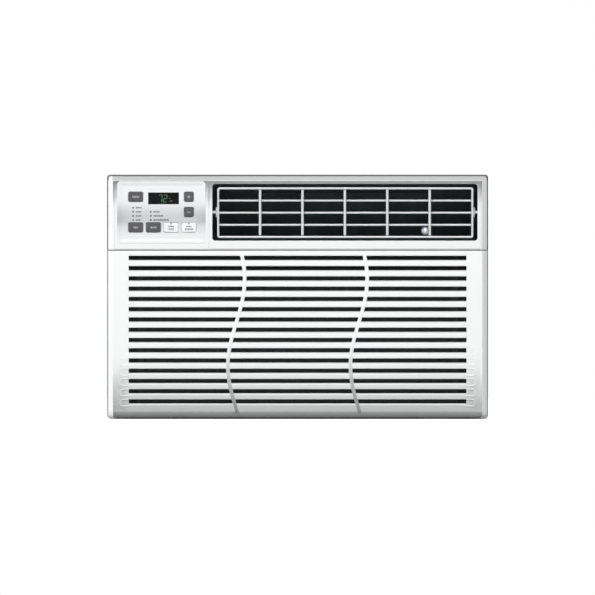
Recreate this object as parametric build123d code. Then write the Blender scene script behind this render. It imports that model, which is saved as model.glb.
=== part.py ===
from build123d import *
import os
from math import asin, cos, pi, radians, sin, sqrt

# A window air conditioner, in millimetres. +Z is up and the front faces -Y.
# The origin lies under the middle of the unit, on the surface that its base rails stand on.

# Whole unit
front_width = 600.0
front_height = 385.0
overall_depth = 560.0
panel_lift = 2.0

# Fits: between flat neighbours, between a pin and the hole it turns in, and in the hole that holds it
flat_clearance = 0.3
running_clearance = 0.06
seat_clearance = 0.03

# Front panel, the fixed moulding
panel_wall = 3.0
panel_depth = 75.0
upper_face_height = 117.0
seam_gap = 3.0
front_bevel = 9.0
corner_radius = 7.0
bevel_corner = 1.5
cove_depth = 6.0
cove_foot_drop = 48.0
cove_flat_drop = 18.0
plate_setback = 67.0
intake_margin_x = 55.0
intake_margin_low = 28.0
intake_margin_high = 13.0

# Intake grille, hinged along its top edge
grille_depth = 45.0
grille_gap = 1.5
grille_curve_height = 98.0
grille_curve_radius = 150.0
chin_height = 10.0
chin_run = 12.0
chin_round = 12.0
rail_round = 12.0
swing_clearance = 0.3
grille_edge_round = 2.0
slot_count = 15
slot_height = 6.0
slot_top_margin = 10.85
slot_bottom_margin = 25.85
slot_side_margin = 34.0
slat_round = 2.6
rib_offset = 96.5
rib_sway = 13.2
rib_wave = 274.0
rib_crest = 218.8
rib_width = 6.0
rib_margin = 8.0
rib_points = 13
hinge_setback = 7.0
hinge_drop = 10.0
hinge_pin_radius = 1.8
hinge_arm_radius = 3.5
hinge_arm_width = 6.0
hinge_ear_width = 5.0
hinge_ear_inset = 25.0
hinge_ear_drop = 30.0
hinge_ear_reach = 5.0
hinge_side_gap = 0.5
catch_width = 18.0
catch_height = 10.0
catch_offset = 180.0
catch_reach = 2.0

# Filter behind the grille
filter_overlap = 7.0
filter_thickness = 6.0
filter_rim = 8.0
filter_rib = 3.0
filter_columns = 4
mesh_thickness = 0.8
guide_width = 4.0
guide_depth = 9.0

# Control panel and its keys
control_margin = 16.0
control_width = 139.0
control_top_margin = 10.5
control_low_margin = 9.0
control_radius = 6.0
control_round = 2.0
control_setback = 1.0
control_flange = 3.0
flange_thickness = 2.0
seat_rim = 4.0
key_margin_left = 29.1
key_margin_right = 26.2
key_margin_top = 24.4
key_margin_low = 24.9
key_gap = 4.9
key_small_width = 15.0
key_height = 15.0
key_radius = 2.5
key_travel = 1.2
key_lip = 1.2
key_lip_thickness = 1.0
key_stem = 0.7
key_spare_travel = 0.1
dome_radius = 3.0
dome_height = 2.7
display_gap = 8.15
display_height = 18.6
display_drop = 26.8
lens_thickness = 3.0
light_radius = 1.4
light_pitch = 6.4
light_column_1 = 24.9
light_column_2 = 52.9
light_drop = 41.6
board_thickness = 1.6
post_radius = 2.5
post_inset = 6.5

# Discharge opening and louvre
discharge_gap = 10.6
discharge_margin = 16.5
discharge_top_margin = 14.4
discharge_low_margin = 13.0
discharge_radius = 4.7
louvre_gap_x = 6.5
louvre_gap_z = 4.3
louvre_setback = 3.0
louvre_depth = 30.0
louvre_rim = 4.0
louvre_radius = 4.0
blade_count = 3
blade_thickness = 3.5
blade_depth = 11.0
boss_height = 15.5
boss_depth = 12.0
boss_reach = 2.4
stub_radius = 2.5
stub_seat = 2.6
vane_count = 5
vane_thickness = 4.0
vane_depth = 14.0
vane_round = 1.4
vane_front_gap = 2.0
vane_end_gap = 0.5
vane_pin_radius = 1.6
vane_pin_length = 3.0
link_height = 3.0
link_thickness = 3.0
link_drop = 3.0
link_arm = 5.0
link_pin_radius = 1.2
link_overhang = 4.0
knob_radius = 6.5
knob_offset = 7.0
knob_setback = 2.5
knob_height = 7.7

# Cabinet, base and rear guard
cabinet_inset = 5.0
sheet = 1.2
rear_guard_depth = 8.0
guard_sheet = 2.0
guard_frame = 14.0
guard_columns = 16
guard_rows = 10
guard_bar = 3.0
rail_height = 8.0
rail_width = 40.0
rail_offset = 220.0
rail_front_gap = 14.0
pan_floor = 2.0
pan_wall_height = 20.0
cabinet_flange = 12.0
vent_count = 12
vent_width = 5.0
vent_pitch = 14.0
vent_length = 120.0
vent_rear_margin = 40.0
vent_rows = 2
vent_row_gap = 24.0
vent_top_margin = 50.0
sill_hole_radius = 3.0
sill_hole_inset = 60.0
screw_radius = 2.0
screw_head_radius = 4.0
screw_head_height = 2.0
screw_length = 10.0
cabinet_screw_count = 3

# Air system
duct_wall = 3.0
scroll_depth = 100.0
scroll_front_wall = 5.0
scroll_side_wall = 6.0
scroll_floor = 12.0
scroll_gap = 18.0
inlet_gap = 18.0
fan_axis_drop = 200.0
wheel_lip = 16.0
wheel_width = 76.0
wheel_ring = 14.0
wheel_plate = 2.0
wheel_blades = 30
wheel_blade_thickness = 1.6
wheel_back_gap = 8.0
hub_radius = 14.0
hub_length = 26.0
bulkhead_hole_radius = 20.0
shaft_radius = 6.0
motor_radius = 56.0
motor_length = 80.0
motor_round = 8.0
motor_gap = 18.0
bracket_sheet = 3.0
bracket_width = 130.0
bracket_foot = 30.0
bracket_hole_radius = 16.0
fan_margin = 22.0
fan_ring = 4.0
fan_ring_width = 14.0
fan_depth = 34.0
fan_hub_radius = 30.0
fan_blades = 5
fan_blade_thickness = 2.0
fan_blade_chord = 92.0
fan_blade_pitch = 22.0
fan_gap = 70.0
shroud_sheet = 2.0
shroud_gap = 6.0
shroud_collar = 16.0

# Coils
evaporator_side_gap = 42.6
evaporator_depth = 40.0
evaporator_gap = 7.0
evaporator_top_gap = 7.5
condenser_side_gap = 30.6
condenser_depth = 38.0
condenser_top_gap = 25.0
condenser_rear_gap = 10.0
fin_pitch = 8.0
fin_groove = 1.4
fin_groove_depth = 10.0
coil_plate = 1.5
coil_plate_lip = 3.0
bend_radius = 12.7
bend_tube = 4.5
bend_clear = 28.0
tray_wall = 2.5
tray_height = 20.0
tray_gap = 2.0

# Compressor and pipes
compressor_side_gap = 102.6
compressor_setback = 123.8
compressor_radius = 70.0
compressor_height = 225.0
compressor_round = 34.0
foot_radius = 86.0
foot_width = 34.0
foot_thickness = 3.0
grommet_radius = 12.0
grommet_height = 20.0
bolt_radius = 4.0
nut_radius = 8.0
nut_height = 6.0
terminal_width = 44.0
terminal_depth = 30.0
terminal_height = 26.0
terminal_low = 150.0
accumulator_radius = 20.0
accumulator_height = 130.0
accumulator_low = 60.0
pipe_radius = 5.0
pipe_bend = 10.0
pipe_wall_gap = 16.0
capillary_radius = 2.0
drier_radius = 9.0
drier_length = 60.0
drier_gap = 33.0
pipe_hole_gap = 3.0
suction_drop = 20.5
liquid_height = 62.0
discharge_drop = 37.0

# Small parts
gland_radius = 9.0
gland_bore = 4.2
gland_flange = 3.0
gland_height = 64.0
gland_setback = 25.0
sensor_radius = 3.0
sensor_length = 60.0
capacitor_radius = 20.0
capacitor_length = 70.0
box_gap = 8.0
box_depth = 96.0

# Places worked out from the sizes above
half_width = front_width / 2
y_front = -overall_depth / 2
y_rear = overall_depth / 2
z_seam_top = front_height - upper_face_height
z_grille_top = z_seam_top - seam_gap
z_grille_low = panel_lift
y_panel_back = y_front + panel_depth
y_plate_front = y_front + plate_setback
y_plate_back = y_plate_front + panel_wall
y_grille_back = y_front + grille_depth
y_band_front = y_grille_back + grille_gap
y_seat = y_front + cove_depth + panel_wall
y_hinge = y_front + hinge_setback
z_hinge = z_grille_top - hinge_drop
x_ear = half_width - hinge_ear_inset - hinge_ear_width
x_arm = x_ear + hinge_ear_width + hinge_side_gap
intake_x = (-half_width + intake_margin_x, half_width - intake_margin_x)
intake_z = (z_grille_low + intake_margin_low, z_seam_top - intake_margin_high)
control_x = (-half_width + control_margin, -half_width + control_margin + control_width)
control_z = (z_seam_top + control_low_margin, front_height - control_top_margin)
y_control = y_front + control_setback
y_control_wall = y_control + panel_wall
y_key_lip = y_control_wall + flat_clearance
y_key_back = y_key_lip + key_lip_thickness + key_stem
y_board = y_key_back + key_travel + key_spare_travel + dome_height
discharge_x = (control_x[1] + discharge_gap, half_width - discharge_margin)
discharge_z = (z_seam_top + discharge_low_margin, front_height - discharge_top_margin)
louvre_x = (discharge_x[0] + louvre_gap_x, discharge_x[1] - louvre_gap_x)
louvre_z = (discharge_z[0] + louvre_gap_z, discharge_z[1] - louvre_gap_z)
louvre_y = (y_front + louvre_setback, y_front + louvre_setback + louvre_depth)
y_louvre_axis = sum(louvre_y) / 2
z_louvre_axis = sum(louvre_z) / 2
y_vane = louvre_y[0] + vane_front_gap + vane_depth / 2
vane_z = (louvre_z[0] + louvre_rim + vane_end_gap, louvre_z[1] - louvre_rim - vane_end_gap)
vane_cell = (louvre_x[1] - louvre_x[0] - 2 * louvre_rim - vane_count * vane_thickness) / (vane_count + 1)
vane_pitch = vane_cell + vane_thickness
vane_xs = [louvre_x[0] + louvre_rim + vane_pitch * (i + 1) - vane_thickness / 2 for i in range(vane_count)]
z_link = vane_z[1] - link_drop - link_height / 2
y_link = y_vane + link_arm
cabinet_half = half_width - cabinet_inset
cabinet_top = front_height - cabinet_inset
pan_half = cabinet_half - sheet
pan_top = rail_height + pan_floor
y_case_back = y_rear - rear_guard_depth
x_fan = sum(discharge_x) / 2
z_fan = front_height - fan_axis_drop
inlet_radius = discharge_z[0] - z_fan - inlet_gap
wheel_radius = inlet_radius + wheel_lip
scroll_radius = wheel_radius + scroll_gap
key_pitch = (control_width - key_margin_left - key_margin_right) / 3
key_width = key_pitch - key_gap
key_columns = [control_x[0] + key_margin_left + key_pitch * i for i in range(4)]
key_row_low = control_z[0] + key_margin_low
key_row_high = control_z[1] - key_margin_top
key_row_middle = (key_row_low + key_row_high) / 2
display_x = (key_columns[0] + key_width / 2 + display_gap, key_columns[3] - key_small_width / 2 - display_gap)
display_z = (control_z[1] - display_drop - display_height / 2,
             control_z[1] - display_drop + display_height / 2)
pan_inside = pan_half - sheet
evaporator_x = (-pan_inside + evaporator_side_gap, pan_inside - evaporator_side_gap)
evaporator_y = (y_plate_back + evaporator_gap, y_plate_back + evaporator_gap + evaporator_depth)
evaporator_z = (pan_top + tray_wall, z_seam_top - evaporator_top_gap)
condenser_x = (-pan_inside + condenser_side_gap, pan_inside - condenser_side_gap)
condenser_y = (y_case_back - condenser_rear_gap - condenser_depth, y_case_back - condenser_rear_gap)
condenser_z = (pan_top, cabinet_top - condenser_top_gap)
fan_radius = min(condenser_z[1] - z_fan, z_fan - pan_top) - fan_margin
y_scroll = (evaporator_y[1] + coil_plate_lip, evaporator_y[1] + coil_plate_lip + scroll_depth)
y_bulkhead = (y_scroll[1], y_scroll[1] + sheet)
wheel_y = (y_scroll[1] - wheel_back_gap - wheel_width, y_scroll[1] - wheel_back_gap)
motor_y = (y_bulkhead[1] + motor_gap, y_bulkhead[1] + motor_gap + motor_length)
fan_y = (motor_y[1] + bracket_sheet + fan_gap, motor_y[1] + bracket_sheet + fan_gap + fan_depth)
x_pipe = -(pan_inside - pipe_wall_gap)
suction_height = evaporator_z[1] - suction_drop
discharge_height = condenser_z[1] - discharge_drop
compressor_x = -pan_inside + compressor_side_gap
compressor_y = y_bulkhead[1] + compressor_setback
compressor_low = pan_top + grommet_height
compressor_top = compressor_low + foot_thickness + compressor_height
accumulator_y = compressor_y - compressor_radius - accumulator_radius - flat_clearance


def block(x, y, z):
    """Box between the pairs of limits x, y and z."""
    sizes = [high - low for low, high in (x, y, z)]
    middle = [(high + low) / 2 for low, high in (x, y, z)]
    return Pos(*middle) * Box(*sizes)


def outline(x, z, y, radius):
    """Rounded rectangle seen from the front, between the limits x and z, at the depth y."""
    face = Plane(origin=(sum(x) / 2, y, sum(z) / 2), x_dir=(1, 0, 0), z_dir=(0, -1, 0))
    return face * RectangleRounded(x[1] - x[0], z[1] - z[0], radius)


def slab(x, z, y, radius):
    """Plate between the limits x, z and y, with rounded corners as seen from the front."""
    return extrude(outline(x, z, y[1], radius), y[1] - y[0])


def rod(radius, start, length, axis):
    """Cylinder from a start point along X, Y or Z."""
    turn, step = {"X": (Rot(0, 90, 0), (1, 0, 0)), "Y": (Rot(90, 0, 0), (0, 1, 0)),
                  "Z": (Rot(0, 0, 0), (0, 0, 1))}[axis]
    middle = [place + length / 2 * part for place, part in zip(start, step)]
    return Pos(*middle) * turn * Cylinder(radius, length)


def grown(limits, amount):
    """A pair of limits moved apart by an amount at each end."""
    return (limits[0] - amount, limits[1] + amount)


def mirrored(limits):
    """The same limits on the other side of the middle plane."""
    return (-limits[1], -limits[0])


def group(pieces):
    """Separate solids of one node."""
    return Compound(children=list(pieces))


# Front panel

def upper_form(inset):
    """Upper part of the front with bevelled front edges, drawn in by a wall on all sides but the back."""
    x = grown((-half_width, half_width), -inset)
    z = (z_grille_low, front_height - inset)
    y_face = y_front + inset
    y_bevel = y_face + front_bevel
    rear = slab(x, z, (y_bevel, y_panel_back + inset), corner_radius - inset)
    bevel = loft([outline(x, z, y_bevel, corner_radius - inset),
                  outline(grown(x, -front_bevel), grown(z, -front_bevel), y_face, bevel_corner)], ruled=True)
    above = block(x, (y_face, y_panel_back + inset), (z_seam_top + inset, front_height - inset))
    return (rear + bevel) & above


def cove(grow):
    """Recess below the top lip, which rolls out until the face is flush; grow adds a wall round it."""
    z_foot = front_height - cove_foot_drop
    z_flat = front_height - cove_flat_drop
    z_lip = front_height - front_bevel + grow
    y_deep = y_front + cove_depth + grow
    y_flush = y_front + grow
    y_out = y_front - front_bevel
    roll = Spline((y_flush, z_foot), (y_deep, z_flat), tangents=((0, 1), (0, 1)))
    rest = Polyline((y_deep, z_flat), (y_deep, z_lip), (y_out, z_lip), (y_out, z_foot), (y_flush, z_foot))
    side = half_width - front_bevel + grow
    return extrude(Plane.YZ * make_face([roll, *rest.edges()]), side, both=True)


def hinge_arm(side):
    """Arm that carries one hinge pin in front of the plate, on the side given by 1 or -1."""
    x = (x_arm, x_arm + hinge_arm_width)
    if side < 0:
        x = mirrored(x)
    arm = block(x, (y_hinge, y_plate_front), (z_hinge - hinge_arm_radius, z_hinge + hinge_arm_radius))
    arm += rod(hinge_arm_radius, (x[0], y_hinge, z_hinge), hinge_arm_width, "X")
    return arm - rod(hinge_pin_radius + seat_clearance, (x[0], y_hinge, z_hinge), hinge_arm_width, "X")


def front_panel():
    """Fixed front moulding: upper face, band round the back of the grille, plate and hinge arms."""
    mass = upper_form(0) - cove(0)
    panel = mass - (upper_form(panel_wall) - cove(panel_wall))
    panel += mass & block(grown(control_x, seat_rim), (y_front, y_seat), grown(control_z, seat_rim))
    panel += mass & block(grown(discharge_x, duct_wall), (y_front, y_seat), grown(discharge_z, duct_wall))
    panel -= slab(grown(control_x, flat_clearance), grown(control_z, flat_clearance),
                  (y_front, y_seat), control_radius + flat_clearance)
    panel -= slab(discharge_x, discharge_z, (y_front, y_seat), discharge_radius)
    width = (-half_width, half_width)
    band = block(width, (y_band_front, y_panel_back), (z_grille_low, z_seam_top + panel_wall))
    band = fillet(band.edges().filter_by(Axis.Y).group_by(Axis.Z)[0], corner_radius)
    room = block(grown(width, -panel_wall), (y_band_front, y_panel_back),
                 (z_grille_low + panel_wall, z_seam_top))
    room = fillet(room.edges().filter_by(Axis.Y).group_by(Axis.Z)[0], corner_radius - panel_wall)
    plate = room & block(width, (y_plate_front, y_plate_back), (0, front_height))
    plate -= block(intake_x, (y_plate_front, y_plate_back), intake_z)
    panel += [band - room, plate, hinge_arm(1), hinge_arm(-1)]
    panel -= block(grown(width, -panel_wall), (y_plate_back, y_panel_back),
                   (z_seam_top, z_seam_top + panel_wall))
    filter_side = intake_x[1] + filter_overlap + flat_clearance
    guide_y = (y_plate_front - guide_depth, y_plate_front)
    for x in ((filter_side, filter_side + guide_width), (-filter_side - guide_width, -filter_side)):
        panel += block(x, guide_y, (intake_z[0] - filter_overlap, intake_z[1]))
    ledge = intake_z[0] - filter_overlap - flat_clearance
    panel += block((-filter_side, filter_side), guide_y, (ledge - guide_width, ledge))
    return panel - panel_screw_holes()


panel_screw_x = cabinet_half - sheet - cabinet_flange / 2
panel_screw_zs = [z_grille_low + intake_margin_low * 2, z_seam_top - intake_margin_low * 2]


def panel_screw_places():
    """Places of the four screws that hold the front panel to the cabinet's flange."""
    return [(side * panel_screw_x, z) for side in (1, -1) for z in panel_screw_zs]


def panel_screw_holes():
    """Holes for those screws, through the plate and the flange."""
    return [rod(screw_radius + seat_clearance, (x, y_plate_front, z), screw_length, "Y")
            for x, z in panel_screw_places()]


def panel_screws():
    """Pan-head screws behind the grille."""
    return group(rod(screw_radius, (x, y_plate_front, z), screw_length, "Y")
                 + rod(screw_head_radius, (x, y_plate_front - screw_head_height, z), screw_head_height, "Y")
                 for x, z in panel_screw_places())


# Intake grille

def grille_setback(z):
    """How far the grille's face lies behind the front plane at a height on its curve."""
    drop = max(0.0, z_grille_low + grille_curve_height - z)
    return grille_curve_radius - sqrt(grille_curve_radius ** 2 - drop ** 2)


def grille_profile(back, top, low):
    """Side view of the grille: upright face, curve back and chin, closed at the given limits."""
    z_curve = z_grille_low + grille_curve_height
    z_chin = z_grille_low + chin_height
    y_chin = y_front + grille_setback(z_chin)
    y_low = y_chin + chin_run * (z_chin - low) / chin_height
    half_turn = asin((z_curve - z_chin) / grille_curve_radius) / 2
    halfway = (y_front + grille_curve_radius * (1 - cos(half_turn)),
               z_curve - grille_curve_radius * sin(half_turn))
    curve = ThreePointArc((y_front, z_curve), halfway, (y_chin, z_chin))
    rest = Polyline((y_chin, z_chin), (y_low, low), (back, low), (back, top), (y_front, top), (y_front, z_curve))
    face = make_face([curve, *rest.edges()])
    chin = face.vertices().sort_by_distance((y_chin, z_chin))[0]
    return fillet(chin, chin_round)


def grille_section(x, wall, bevel):
    """Side view at the place x, drawn in by a wall on the outside and by a bevel on the face and chin."""
    profile = grille_profile(y_grille_back + 2 * wall + bevel, z_grille_top + 2 * wall + bevel,
                             z_grille_low - bevel)
    if wall + bevel > 0:
        profile = offset(profile, -wall - bevel, kind=Kind.INTERSECTION)
    return Plane.YZ.offset(x) * profile


def grille_form(wall):
    """Grille as a full solid with bevelled ends, drawn in by a wall; its back and top run out when it is."""
    end = half_width - wall
    start = end - front_bevel
    form = extrude(grille_section(0, wall, 0), start, both=True)
    for side in (1, -1):
        form += loft([grille_section(side * start, wall, 0), grille_section(side * end, wall, front_bevel)],
                     ruled=True)
    return form


def rail_section(x, bevel):
    """Side view of an end rail at the place x: upright front and round chin, drawn in by a bevel."""
    corners = [(y_front + bevel, z_grille_low), (y_front + bevel, z_grille_low + grille_curve_height),
               (y_grille_back, z_grille_low + grille_curve_height), (y_grille_back, z_grille_low)]
    profile = make_face(Polyline(*corners, close=True))
    low = profile.vertices().sort_by_distance(corners[0])[0]
    return Plane.YZ.offset(x) * fillet(low, rail_round)


def end_rails():
    """Bevelled rails at both ends of the grille, which stay upright where the face between them curves back."""
    start = half_width - front_bevel
    return [loft([rail_section(side * start, 0), rail_section(side * half_width, front_bevel)], ruled=True)
            for side in (1, -1)]


def slot_cut(z):
    """One intake slot; the slat's top edge below it is rounded."""
    low = z - slot_height / 2
    y_face = y_front + grille_setback(low - slat_round)
    span = half_width - slot_side_margin
    depth = grille_setback(z_grille_low + chin_height) + 2 * panel_wall
    cut = block((-span, span), (y_front - panel_wall, y_front + depth), grown((z, z), slot_height / 2))
    edge = block((-span, span), (y_front - panel_wall, y_face + slat_round), (low - slat_round, low))
    return cut + (edge - rod(slat_round, (-span, y_face + slat_round, low - slat_round), 2 * span, "X"))


def wavy_rib(centre):
    """Upright bar whose middle line sways from side to side as a cosine of the height."""
    low = z_grille_low + rib_margin
    high = z_grille_top - rib_margin / 2
    heights = [low + (high - low) * i / (rib_points - 1) for i in range(rib_points)]
    middle = [(centre + rib_sway * cos(2 * pi * (z - z_grille_low - rib_crest) / rib_wave), z) for z in heights]
    left = Spline(*[(x - rib_width / 2, z) for x, z in middle])
    right = Spline(*[(x + rib_width / 2, z) for x, z in middle])
    outline = make_face([left, right, Line(left @ 0, right @ 0), Line(left @ 1, right @ 1)])
    back = Plane(origin=(0, y_grille_back, 0), x_dir=(1, 0, 0), z_dir=(0, -1, 0))
    return extrude(back * outline, grille_depth)


def hinge_ear(side):
    """Ear on the back of the grille that turns on one hinge pin."""
    x = (x_ear, x_ear + hinge_ear_width)
    if side < 0:
        x = mirrored(x)
    ear = block(x, (y_front + panel_wall / 2, y_hinge + hinge_ear_reach),
                (z_hinge - hinge_ear_drop, z_hinge + hinge_ear_reach))
    return ear - rod(hinge_pin_radius + running_clearance, (x[0], y_hinge, z_hinge), hinge_ear_width, "X")


def swing_relief():
    """What the grille's low back edge gives up so that it stays above the sill while it swings."""
    low = block(grown((0, 0), half_width), (y_hinge, y_grille_back), (z_grille_low, z_grille_low + chin_height))
    return low - rod(z_hinge - swing_clearance, (-half_width, y_hinge, z_hinge), 2 * half_width, "X")


def intake_grille():
    """Hinged lower panel: a curved shell between end rails, with slots, two wavy ribs and two hinge ears."""
    outer = grille_form(0) + end_rails() - swing_relief()
    top_edge = outer.edges().filter_by(Axis.X).group_by(Axis.Z)[-1].sort_by(Axis.Y)[0]
    skin = fillet(top_edge, grille_edge_round) - grille_form(panel_wall)
    first = z_grille_top - slot_top_margin
    last = z_grille_low + slot_bottom_margin
    pitch = (first - last) / (slot_count - 1)
    grille = skin - [slot_cut(first - pitch * i) for i in range(slot_count)]
    return grille + [wavy_rib(x) & skin for x in (rib_offset, -rib_offset)] + [hinge_ear(1), hinge_ear(-1)]


def grille_hinge_pins():
    """Two pins held in the front panel's arms; the grille's ears turn on them."""
    length = hinge_ear_width + hinge_side_gap + hinge_arm_width
    return group(rod(hinge_pin_radius, (x, y_hinge, z_hinge), length, "X") for x in (x_ear, -x_ear - length))


def grille_catches():
    """Two snap catches that stand on the plate and hold the grille's bottom wall."""
    low = z_grille_low + panel_wall + flat_clearance
    y = (y_grille_back - catch_reach, y_plate_front)
    return group(block(grown((x, x), catch_width / 2), y, (low, low + catch_height))
                 for x in (catch_offset, -catch_offset))


# Filter

def filter_frame():
    """Frame of the washable filter, with upright ribs."""
    x = grown(intake_x, filter_overlap)
    z = (intake_z[0] - filter_overlap, intake_z[1] + filter_overlap)
    y = (y_plate_front - filter_thickness, y_plate_front)
    rim = block(x, y, z) - block(grown(x, -filter_rim), y, grown(z, -filter_rim))
    pitch = (x[1] - x[0]) / filter_columns
    ribs = [block(grown((x[0] + pitch * i,) * 2, filter_rib / 2), y, z) for i in range(1, filter_columns)]
    return (rim + ribs) - filter_net()


def filter_net():
    """Thin sheet of net that the frame holds halfway through its thickness."""
    x = grown(intake_x, filter_overlap - filter_rim / 2)
    z = grown((intake_z[0] - filter_overlap, intake_z[1] + filter_overlap), -filter_rim / 2)
    middle = y_plate_front - filter_thickness / 2
    return block(x, grown((middle, middle), mesh_thickness / 2), z)


# Control panel

keys = {
    "button_power": (key_columns[0], key_row_high, key_width),
    "button_up": (key_columns[3], key_row_high, key_small_width),
    "button_down": (key_columns[3], key_row_middle, key_small_width),
    "button_fan": (key_columns[0], key_row_low, key_width),
    "button_mode": (key_columns[1], key_row_low, key_width),
    "button_timer": (key_columns[2], key_row_low, key_width),
    "button_reset": (key_columns[3], key_row_low, key_width),
}
light_z = control_z[1] - light_drop
light_places = [(control_x[0] + light_column_1, light_z - light_pitch * i) for i in range(4)]
light_places += [(control_x[0] + light_column_2, light_z - light_pitch * i) for i in range(1, 4)]


def key_slab(name, y, grow):
    """Rounded plate of one key's size and place, grown by an amount all round."""
    x, z, width = keys[name]
    return slab(grown((x, x), width / 2 + grow), grown((z, z), key_height / 2 + grow), y, key_radius + grow)


def key(name):
    """Key cap with the lip that keeps it in the panel and the stem that meets its switch dome."""
    x, z, _ = keys[name]
    cap = key_slab(name, (y_front, y_key_lip), 0)
    cap = fillet(cap.faces().sort_by(Axis.Y)[0].edges(), control_setback / 2)
    lip = key_slab(name, (y_key_lip, y_key_lip + key_lip_thickness), key_lip)
    return cap + lip + rod(dome_radius, (x, y_key_lip, z), key_lip_thickness + key_stem, "Y")


def control_panel():
    """Pillow-shaped cover of the controls, with a flange behind the front panel's seat."""
    flange_y = (y_seat, y_seat + flange_thickness)
    shell = slab(control_x, control_z, (y_control, flange_y[1]), control_radius)
    shell = fillet(shell.faces().sort_by(Axis.Y)[0].edges(), control_round)
    shell += slab(grown(control_x, control_flange), grown(control_z, control_flange), flange_y, control_radius)
    shell -= slab(grown(control_x, -panel_wall), grown(control_z, -panel_wall), (y_control_wall, flange_y[1]),
                  control_radius - panel_wall)
    shell -= [key_slab(name, (y_control, y_control_wall), flat_clearance) for name in keys]
    shell -= block(grown(display_x, flat_clearance), (y_control, y_control_wall),
                   grown(display_z, flat_clearance))
    shell -= [rod(light_radius + seat_clearance, (x, y_control, z), panel_wall, "Y") for x, z in light_places]
    corners = [(x, z) for x in grown(control_x, -post_inset) for z in grown(control_z, -post_inset)]
    return shell + [rod(post_radius, (x, y_control_wall, z), y_board - y_control_wall, "Y") for x, z in corners]


def display_lens():
    """Dark window over the digits."""
    return block(display_x, (y_control, y_control + lens_thickness), display_z)


def indicator_lights():
    """Small lamps that stand on the board and end flush with the panel."""
    return group(rod(light_radius, (x, y_control, z), y_board - y_control, "Y") for x, z in light_places)


def control_board():
    """Circuit board on the panel's posts, with a switch dome behind each key and a digit block."""
    gap = panel_wall + flat_clearance
    board = slab(grown(control_x, -gap), grown(control_z, -gap), (y_board, y_board + board_thickness),
                 control_radius - panel_wall)
    board += block(grown(display_x, control_round), (y_control_wall, y_board), grown(display_z, control_round))
    return board + [rod(dome_radius, (x, y_board - dome_height, z), dome_height, "Y")
                    for x, z, _ in keys.values()]


box_x = (-(pan_half - cabinet_flange - flat_clearance), control_x[1])
box_y = (y_seat + box_gap, y_seat + box_gap + box_depth)
box_z = (z_seam_top + panel_wall, control_z[1])


def control_box():
    """Sheet-metal box behind the control panel, open at the front."""
    room = block(grown(box_x, -sheet), (box_y[0], box_y[1] - sheet), grown(box_z, -sheet))
    return block(box_x, box_y, box_z) - room


def run_capacitor():
    """Capacitor that lies in the control box."""
    place = (sum(box_x) / 2, sum(box_y) / 2 - capacitor_length / 2,
             box_z[0] + sheet + capacitor_radius + flat_clearance)
    return rod(capacitor_radius, place, capacitor_length, "Y")


# Louvre

def pivot_places():
    """Start of each louvre stub, at the left and at the right, and the length of a stub."""
    length = louvre_gap_x + stub_seat
    return [(louvre_x[0] - length, length), (louvre_x[1], length)]


def louvre_frame():
    """Tilting frame with level blades behind the vanes, side bosses and pivot stubs."""
    inner_x = grown(louvre_x, -louvre_rim)
    inner_z = grown(louvre_z, -louvre_rim)
    frame = slab(louvre_x, louvre_z, louvre_y, louvre_radius) - block(inner_x, louvre_y, inner_z)
    cell = (inner_z[1] - inner_z[0] - blade_count * blade_thickness) / (blade_count + 1)
    blade_y = (louvre_y[1] - vane_end_gap - blade_depth, louvre_y[1] - vane_end_gap)
    for i in range(blade_count):
        low = inner_z[0] + cell + (cell + blade_thickness) * i
        frame += block(grown(inner_x, louvre_rim / 2), blade_y, (low, low + blade_thickness))
    boss_y = grown((y_louvre_axis, y_louvre_axis), boss_depth / 2)
    boss_z = grown((z_louvre_axis, z_louvre_axis), boss_height / 2)
    frame += block((louvre_x[0] - boss_reach, louvre_x[0] + louvre_rim), boss_y, boss_z)
    frame += block((louvre_x[1] - louvre_rim, louvre_x[1] + boss_reach), boss_y, boss_z)
    frame += [rod(stub_radius, (x, y_louvre_axis, z_louvre_axis), length, "X") for x, length in pivot_places()]
    holes = [rod(vane_pin_radius + running_clearance, (x, y_vane, z), louvre_rim, "Z")
             for x in vane_xs for z in (louvre_z[0], louvre_z[1] - louvre_rim)]
    return frame - holes


def vane(x):
    """Upright vane with a pivot pin at each end, and a notch with a pin for the tie bar."""
    blade = block(grown((x, x), vane_thickness / 2), grown((y_vane, y_vane), vane_depth / 2), vane_z)
    blade = fillet(blade.edges().filter_by(Axis.Z), vane_round)
    notch_z = grown((z_link, z_link), link_height / 2 + flat_clearance)
    blade -= block(grown((x, x), vane_thickness), (y_vane, y_vane + vane_depth), notch_z)
    blade += rod(link_pin_radius, (x, y_link, notch_z[0]), notch_z[1] - notch_z[0], "Z")
    pin = vane_pin_length + vane_end_gap
    return blade + [rod(vane_pin_radius, (x, y_vane, z), pin, "Z") for z in (vane_z[0] - pin, vane_z[1])]


def vane_link():
    """Tie bar that joins the vanes' notches, so that they swivel together."""
    x = grown((vane_xs[0], vane_xs[-1]), link_overhang)
    bar = block(x, grown((y_link, y_link), link_thickness / 2), grown((z_link, z_link), link_height / 2))
    return bar - [rod(link_pin_radius + running_clearance, (x, y_link, z_link - link_height / 2), link_height, "Z")
                  for x in vane_xs]


def vane_knob():
    """Ball knob seated on the left face of the last vane."""
    seat = vane_xs[-1] - vane_thickness / 2
    y = louvre_y[0] + knob_setback + vane_front_gap
    place = Pos(vane_xs[-1] - knob_offset, y, louvre_z[0] + louvre_rim + knob_height)
    ball = place * Rot(0, 90, 0) * Sphere(knob_radius)
    return ball - block((seat, seat + 2 * knob_radius), grown((y, y), knob_radius * 2), louvre_z)


# Cabinet

def cabinet_screw_places():
    """Depths of the screws along each side, and their height on the base pan's wall."""
    span = y_case_back - y_plate_back
    ys = [y_plate_back + span * (i + 0.5) / cabinet_screw_count for i in range(cabinet_screw_count)]
    return ys, rail_height + pan_floor + pan_wall_height / 2


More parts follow.
